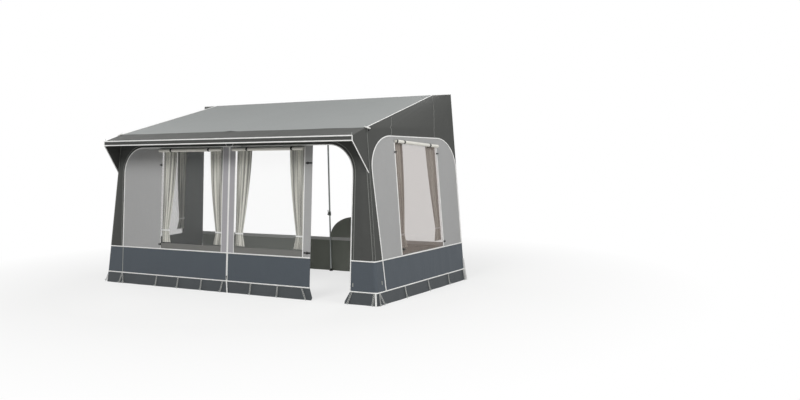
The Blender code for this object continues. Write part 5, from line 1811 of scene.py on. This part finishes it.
def make_lever(label, joint, along, out):
    """Lever of a clamp, closed against the tube, and its bolt."""
    pivot = clamp_pivot(joint, along, out)
    placing = placed(pivot, out, out.cross(along))
    bolt = [
        (0, -0.0155), (0.004, -0.0155), (0.004, -0.0131), (0.0022, -0.013), (0.0022, 0.013),
        (0.004, 0.0131), (0.004, 0.0155), (0, 0.0155),
    ]
    shape = turned(bolt, placing, segments=12)
    add_piece(f"{label}_clamp_bolt", shape, "zinc_plated_steel", slot="steel")
    hub = [
        (0.0023, -0.0078), (0.0070, -0.0078), (0.0078, -0.0070), (0.0078, 0.0070), (0.0070, 0.0078),
        (0.0023, 0.0078), (0.0023, -0.0078),
    ]
    blade = smooth_path([
        pivot + along * 0.004, pivot + along * 0.022, pivot + along * 0.044 + out * 0.0008,
        pivot + along * 0.061 + out * 0.0050,
    ], 5)
    shape = joined([turned(hub, placing, segments=24), rod(blade, 0.0078, 0.0026, out, 12)])
    node_name = f"{label}_clamp_lever"
    add_piece(
        f"{label}_cam_lever", shape, "moulded_black_nylon", body=node_name, slot="black_plastic",
        stands_for=[node_name],
    )


def make_lower(label, foot, along, out):
    """Lower tube, which slides in the upper one, and the rubber foot that stands flat on the ground."""
    placing = placed(foot, out, along)
    reach = (LEG_JOINT_HEIGHT + LEG_OVERLAP) / along.z
    shape = tube(LOWER_LEG_RADIUS - POLE_WALL, LOWER_LEG_RADIUS, 0.016, reach, placing)
    node_name = f"{label}_lower"
    add_piece(
        f"{label}_lower_tube", shape, "zinc_plated_steel", body=node_name, slot="steel",
        stands_for=[node_name],
    )
    shoe = [
        (0, 0), (0.0245, 0), (FOOT_RADIUS, 0.0015), (FOOT_RADIUS, 0.006), (0.0240, 0.0085),
        (0.0165, 0.0150), (0.0150, 0.0300), (0.0155, 0.0310), (0.0155, 0.0340), (0.0140, 0.0350),
        (0.0112, 0.0350), (0, 0.0350),
    ]
    shape = turned(shoe, placing)
    for vertex in shape.verts:
        vertex.co.z = max(0, vertex.co.z)
    add_piece(
        f"{label}_foot", shape, "moulded_black_rubber", body=node_name, slot="rubber",
        stands_for=[node_name],
    )


def make_upright(label, foot, along, facing):
    """Telescopic upright with its clamp, its lever and its foot."""
    joint = foot + along * (LEG_JOINT_HEIGHT / along.z)
    out = (facing - along * facing.dot(along)).normalized()
    make_upper(label, joint, along, out)
    make_lever(label, joint, along, out)
    make_lower(label, foot, along, out)


def make_uprights():
    standoff = LEG_STANDOFF / math.cos(FRONT_ANGLE)
    for label, hand in (("left_leg", -1), ("centre_leg", 0), ("right_leg", 1)):
        places = []
        for z in (0, 1):
            x = hand * (front_half_width(z) - LEG_CORNER_INSET) if hand else ZIP_PLACE
            places.append(centred(x, FRONT_LEAN * z + standoff, z))
        make_upright(label, places[0], (places[1] - places[0]).normalized(), BACK)
    foot = centred(*REAR_UPRIGHT_PLACE, 0)
    make_upright("rear_upright", foot, UP, Vector((-1, 0, 0)))


def make_poles():
    refinish(
        "zinc_plated_steel", "left_rafter", "centre_rafter", "right_rafter", "eave_pole", "canopy_pole"
    )
    refinish("moulded_black_nylon", "zip_slider")
    refinish("extruded_pvc_piping", "rail_bead")
    make_saddles()
    make_uprights()


# Pegging

def ladder(top, bottom, out):
    """Rubber ladder: a flat chain of moulded rings."""
    down = bottom - top
    pitch = down.length / LADDER_RINGS
    axis = down.normalized()
    across = axis.cross(out).normalized()
    parts = []
    for index in range(LADDER_RINGS):
        centre = top + axis * pitch * (index + 0.5)
        points = loop_points(centre, axis * (pitch / 2 + 0.001), across * LADDER_HALF_WIDTH, 10)
        parts.append(rod(points, 0.0030, 0.0017, axis.cross(across), sides=6, closed=True))
    return parts


def web_strap(top, foot, half_width):
    """White strap from the band down to the ground, with a slight curve."""
    middle = top.lerp(foot, 0.5) + Vector((0, 0, -0.004))
    return rod(smooth_path([top, middle, foot], 8), half_width, 0.0011, Vector((0, -1, 0.2)), 8)


def peg(foot, outward):
    points = [
        foot, foot + UP * 0.014, foot + UP * 0.024 + outward * 0.003, foot + UP * 0.029 + outward * 0.010,
        foot + UP * 0.024 + outward * 0.018, foot + UP * 0.020 + outward * 0.020,
    ]
    return wire(smooth_path(points, 4), PEG_RADIUS, outward.cross(UP))


def make_ladders(label, hand, door, shares):
    """Ladders and pegs between the door and a front corner, and along that side."""
    corner = hand * front_half_width(SKIRT_BOTTOM)
    hangers = []
    for head, foot in shares:
        head, foot = corner + (door - corner) * head, corner + (door - corner) * foot
        hangers.append((front(head, SKIRT_BOTTOM, HANGER_OUT), front(foot, 0.0), FORWARD))
    outward = mirrored(side_out(SKIRT_BOTTOM), hand)
    level = Vector((outward.x, outward.y, 0)).normalized()
    for head, foot in SIDE_LADDER_SHARES:
        top = side(head * SIDE_RUN, SKIRT_BOTTOM, HANGER_OUT, hand)
        hangers.append((top, side(foot * SIDE_RUN, 0.0, 0, hand), level))
    rubber, steel = [], []
    for top, foot, outward in hangers:
        foot = Vector((foot.x, foot.y, 0)) + outward * (LADDER_SPLAY - sizes().ripple / 2)
        rubber += ladder(top, foot + UP * PEG_HOOK_HEIGHT, outward)
        steel.append(peg(foot, outward))
    add_piece(
        f"{label}_rubber_ladders", joined(rubber), "moulded_grey_rubber", slot="rubber",
        stands_for=[f"{label}_peg_line"],
    )
    add_piece(f"{label}_ground_pegs", joined(steel), "zinc_plated_steel", slot="steel")


def make_peg_straps():
    """White straps at the centre zip, at the right corner and at both rear edges."""
    corner = front_half_width(SKIRT_BOTTOM)
    straps = []
    for head, foot, half_width in ((ZIP_PLACE, 0.004, 0.009), (corner - 0.014, corner + 0.006, 0.012)):
        top = front(head, SKIRT_BOTTOM, STRIP_OUT)
        straps.append(web_strap(top, centred(foot, -0.024, STRAP_FOOT_HEIGHT), half_width))
    for hand in (-1, 1):
        top = side(SIDE_RUN - 0.012, SKIRT_BOTTOM + 0.14, STRIP_OUT, hand)
        foot = side(SIDE_RUN, 0, 0.022, hand)
        straps.append(web_strap(top, Vector((foot.x, foot.y, STRAP_FOOT_HEIGHT)), 0.016))
    add_piece("white_peg_straps", joined(straps), "woven_white_tape")


# Stage

CAMERA_PLACE = (6.831, -8.727, 1.817)
CAMERA_YAW, CAMERA_PITCH, CAMERA_ROLL = (math.radians(angle) for angle in (29.254, -3.95, -1.083))
CAMERA_LENS = 36.907


def make_camera():
    data = bpy.data.cameras.new("camera")
    data.sensor_fit = "HORIZONTAL"
    data.sensor_width = 36
    data.lens = CAMERA_LENS
    camera = bpy.data.objects.new("camera", data)
    bpy.context.scene.collection.objects.link(camera)
    forward = Vector((
        -math.sin(CAMERA_YAW) * math.cos(CAMERA_PITCH), math.cos(CAMERA_YAW) * math.cos(CAMERA_PITCH),
        math.sin(CAMERA_PITCH),
    ))
    level = Vector((math.cos(CAMERA_YAW), math.sin(CAMERA_YAW), 0))
    above = level.cross(forward)
    across = level * math.cos(CAMERA_ROLL) + above * math.sin(CAMERA_ROLL)
    upward = above * math.cos(CAMERA_ROLL) - level * math.sin(CAMERA_ROLL)
    placing = Matrix((across, upward, -forward)).transposed().to_4x4()
    placing.translation = CAMERA_PLACE
    camera.matrix_world = placing
    bpy.context.scene.camera = camera


def make_lamp(name, place, target, strength, size):
    data = bpy.data.lights.new(name, "AREA")
    data.energy = strength
    data.shape = "DISK"
    data.size = size
    lamp = bpy.data.objects.new(name, data)
    bpy.context.scene.collection.objects.link(lamp)
    lamp.location = place
    lamp.rotation_mode = "QUATERNION"
    lamp.rotation_quaternion = (Vector(target) - Vector(place)).to_track_quat("-Z", "Y")


def seen_directly(tree):
    """1 for the rays that only look: from the camera, in a reflection or through film."""
    path = node(tree, "LightPath")
    glossy = node(
        tree, "Math",
        {0: path.outputs["Is Camera Ray"], 1: path.outputs["Is Glossy Ray"]}, operation="MAXIMUM",
    )
    return node(
        tree, "Math", {0: glossy.outputs[0], 1: path.outputs["Is Transmission Ray"]},
        operation="MAXIMUM",
    ).outputs[0]


def make_world():
    world = bpy.data.worlds.new("studio")
    world.use_nodes = True
    tree = world.node_tree
    tree.nodes.clear()
    soft = node(tree, "Background", {"Color": (1, 1, 1, 1), "Strength": 0.22})
    white = node(tree, "Background", {"Color": (1, 1, 1, 1), "Strength": 1.0})
    mix = node(tree, "MixShader", {0: seen_directly(tree), 1: soft.outputs[0], 2: white.outputs[0]})
    node(tree, "OutputWorld", {"Surface": mix.outputs[0]})
    bpy.context.scene.world = world


def make_floor():
    """Pale floor that shows white, fully so from 5.6 m out, and keeps the shadow near the room."""
    flat = bmesh.new()
    bmesh.ops.create_grid(flat, x_segments=1, y_segments=1, size=60)
    mesh = bpy.data.meshes.new("floor")
    flat.to_mesh(mesh)
    flat.free()
    floor = bpy.data.objects.new("floor", mesh)
    bpy.context.scene.collection.objects.link(floor)
    material = bpy.data.materials.new("pale_floor")
    material.use_nodes = True
    tree = material.node_tree
    tree.nodes.clear()
    matt = node(tree, "BsdfDiffuse", {"Color": (*linear("#DADAD8"), 1)})
    glow = node(tree, "Emission", {"Color": (1, 1, 1, 1), "Strength": 1.0})
    place = node(tree, "TexCoord").outputs["Object"]
    away = node(tree, "VectorMath", {0: place}, operation="LENGTH")
    share = node(tree, "MapRange", {0: away.outputs["Value"], 1: 2.8, 2: 5.6, 3: 0.70, 4: 1.0})
    shown = node(tree, "Math", {0: seen_directly(tree), 1: share.outputs[0]}, operation="MULTIPLY")
    mix = node(tree, "MixShader", {0: shown.outputs[0], 1: matt.outputs[0], 2: glow.outputs[0]})
    node(tree, "OutputMaterial", {"Surface": mix.outputs[0]})
    mesh.materials.append(material)


class AWNING_OT_stage(bpy.types.Operator):
    """Add the floor, the light and the camera"""
    bl_idname = "awning.stage"
    bl_label = "Stage"

    def execute(self, context):
        context.scene.view_settings.view_transform = "Standard"
        make_camera()
        make_world()
        make_floor()
        lamp_size = sizes().lamp_size
        make_lamp("front_lamp", (1, -8, 9), (0, 0, 1), 710, lamp_size)
        make_lamp("right_lamp", (9, -1, 6), (0, 0, 1), 400, lamp_size)
        make_lamp("left_lamp", (-9, 2, 6), (0, 0, 1), 220, lamp_size)
        make_lamp("rear_lamp", (0, 9, 7), (0, 0, 1), 220, lamp_size)
        return {"FINISHED"}


class AWNING_OT_roof(bpy.types.Operator):
    """Add the roof, the canopy, its valance and its ends"""
    bl_idname = "awning.roof"
    bl_label = "Roof and canopy"

    def execute(self, context):
        make_roof()
        make_canopy()
        make_gussets()
        return {"FINISHED"}


class AWNING_OT_front(bpy.types.Operator):
    """Add the front wall with its panels and windows"""
    bl_idname = "awning.front"
    bl_label = "Front wall"

    def execute(self, context):
        make_surround()
        make_front_panels()
        return {"FINISHED"}


class AWNING_OT_sides(bpy.types.Operator):
    """Add the side walls with their panels and windows"""
    bl_idname = "awning.sides"
    bl_label = "Side walls"

    def execute(self, context):
        for label, hand in HANDS:
            make_side(label, hand)
        return {"FINISHED"}


class AWNING_OT_bands(bpy.types.Operator):
    """Add the skirt, the mud flap and the draught skirt"""
    bl_idname = "awning.bands"
    bl_label = "Bands"

    def execute(self, context):
        make_bands()
        make_draught_skirt()
        return {"FINISHED"}


class AWNING_OT_piping(bpy.types.Operator):
    """Add the white piping and the seams"""
    bl_idname = "awning.piping"
    bl_label = "Piping and seams"

    def execute(self, context):
        make_front_piping()
        make_side_piping()
        make_seams()
        return {"FINISHED"}


class AWNING_OT_zips(bpy.types.Operator):
    """Add the zips, tapes and sill strips"""
    bl_idname = "awning.zips"
    bl_label = "Zips and strips"

    def execute(self, context):
        make_centre_zip()
        make_window_zip()
        make_sill_strips()
        return {"FINISHED"}


class AWNING_OT_fittings(bpy.types.Operator):
    """Add the toggles, the caps and the tips of the poles"""
    bl_idname = "awning.fittings"
    bl_label = "Toggles and tips"

    def execute(self, context):
        make_toggles()
        make_band_tabs()
        make_pole_tips()
        make_eave_caps()
        return {"FINISHED"}


class AWNING_OT_rolls(bpy.types.Operator):
    """Add the rolled window covers"""
    bl_idname = "awning.rolls"
    bl_label = "Rolled covers"

    def execute(self, context):
        make_rolls()
        return {"FINISHED"}


class AWNING_OT_curtains(bpy.types.Operator):
    """Add the curtains and their tie-backs"""
    bl_idname = "awning.curtains"
    bl_label = "Curtains"

    def execute(self, context):
        make_curtains()
        return {"FINISHED"}


class AWNING_OT_poles(bpy.types.Operator):
    """Finish the poles and add the details of the uprights"""
    bl_idname = "awning.poles"
    bl_label = "Poles"

    def execute(self, context):
        make_poles()
        return {"FINISHED"}


class AWNING_OT_pegging(bpy.types.Operator):
    """Add the rubber ladders, the pegs and the white straps"""
    bl_idname = "awning.pegging"
    bl_label = "Pegging"

    def execute(self, context):
        make_ladders("left", -1, DOOR_LEFT, LEFT_LADDER_SHARES)
        make_ladders("right", 1, DOOR_RIGHT, RIGHT_LADDER_SHARES)
        make_peg_straps()
        return {"FINISHED"}


BUILDERS = (
    AWNING_OT_stage, AWNING_OT_roof, AWNING_OT_front, AWNING_OT_sides, AWNING_OT_bands, AWNING_OT_piping,
    AWNING_OT_zips, AWNING_OT_fittings, AWNING_OT_rolls, AWNING_OT_curtains, AWNING_OT_poles,
    AWNING_OT_pegging,
)


class AWNING_PT_build(bpy.types.Panel):
    """Lists the steps that build the awning"""
    bl_idname = "AWNING_PT_build"
    bl_label = "Caravan awning"
    bl_space_type = "VIEW_3D"
    bl_region_type = "UI"
    bl_category = "Awning"

    def draw(self, context):
        layout = self.layout
        for builder in BUILDERS:
            layout.operator(builder.bl_idname)
        for group in (context.scene.awning_sizes, context.scene.awning_colours):
            column = layout.column(align=True)
            for name in group.__annotations__:
                column.prop(group, name)


CLASSES = (AwningSizes, AwningColours, *BUILDERS, AWNING_PT_build)


def register():
    for item in CLASSES:
        bpy.utils.register_class(item)
    bpy.types.Scene.awning_sizes = PointerProperty(type=AwningSizes)
    bpy.types.Scene.awning_colours = PointerProperty(type=AwningColours)


def unregister():
    del bpy.types.Scene.awning_colours
    del bpy.types.Scene.awning_sizes
    for item in reversed(CLASSES):
        bpy.utils.unregister_class(item)


def main():
    register()
    bpy.ops.awning.stage()
    bpy.ops.awning.roof()
    bpy.ops.awning.front()
    bpy.ops.awning.sides()
    bpy.ops.awning.bands()
    bpy.ops.awning.piping()
    bpy.ops.awning.zips()
    bpy.ops.awning.fittings()
    bpy.ops.awning.rolls()
    bpy.ops.awning.curtains()
    bpy.ops.awning.poles()
    bpy.ops.awning.pegging()


if __name__ == "__main__":
    main()
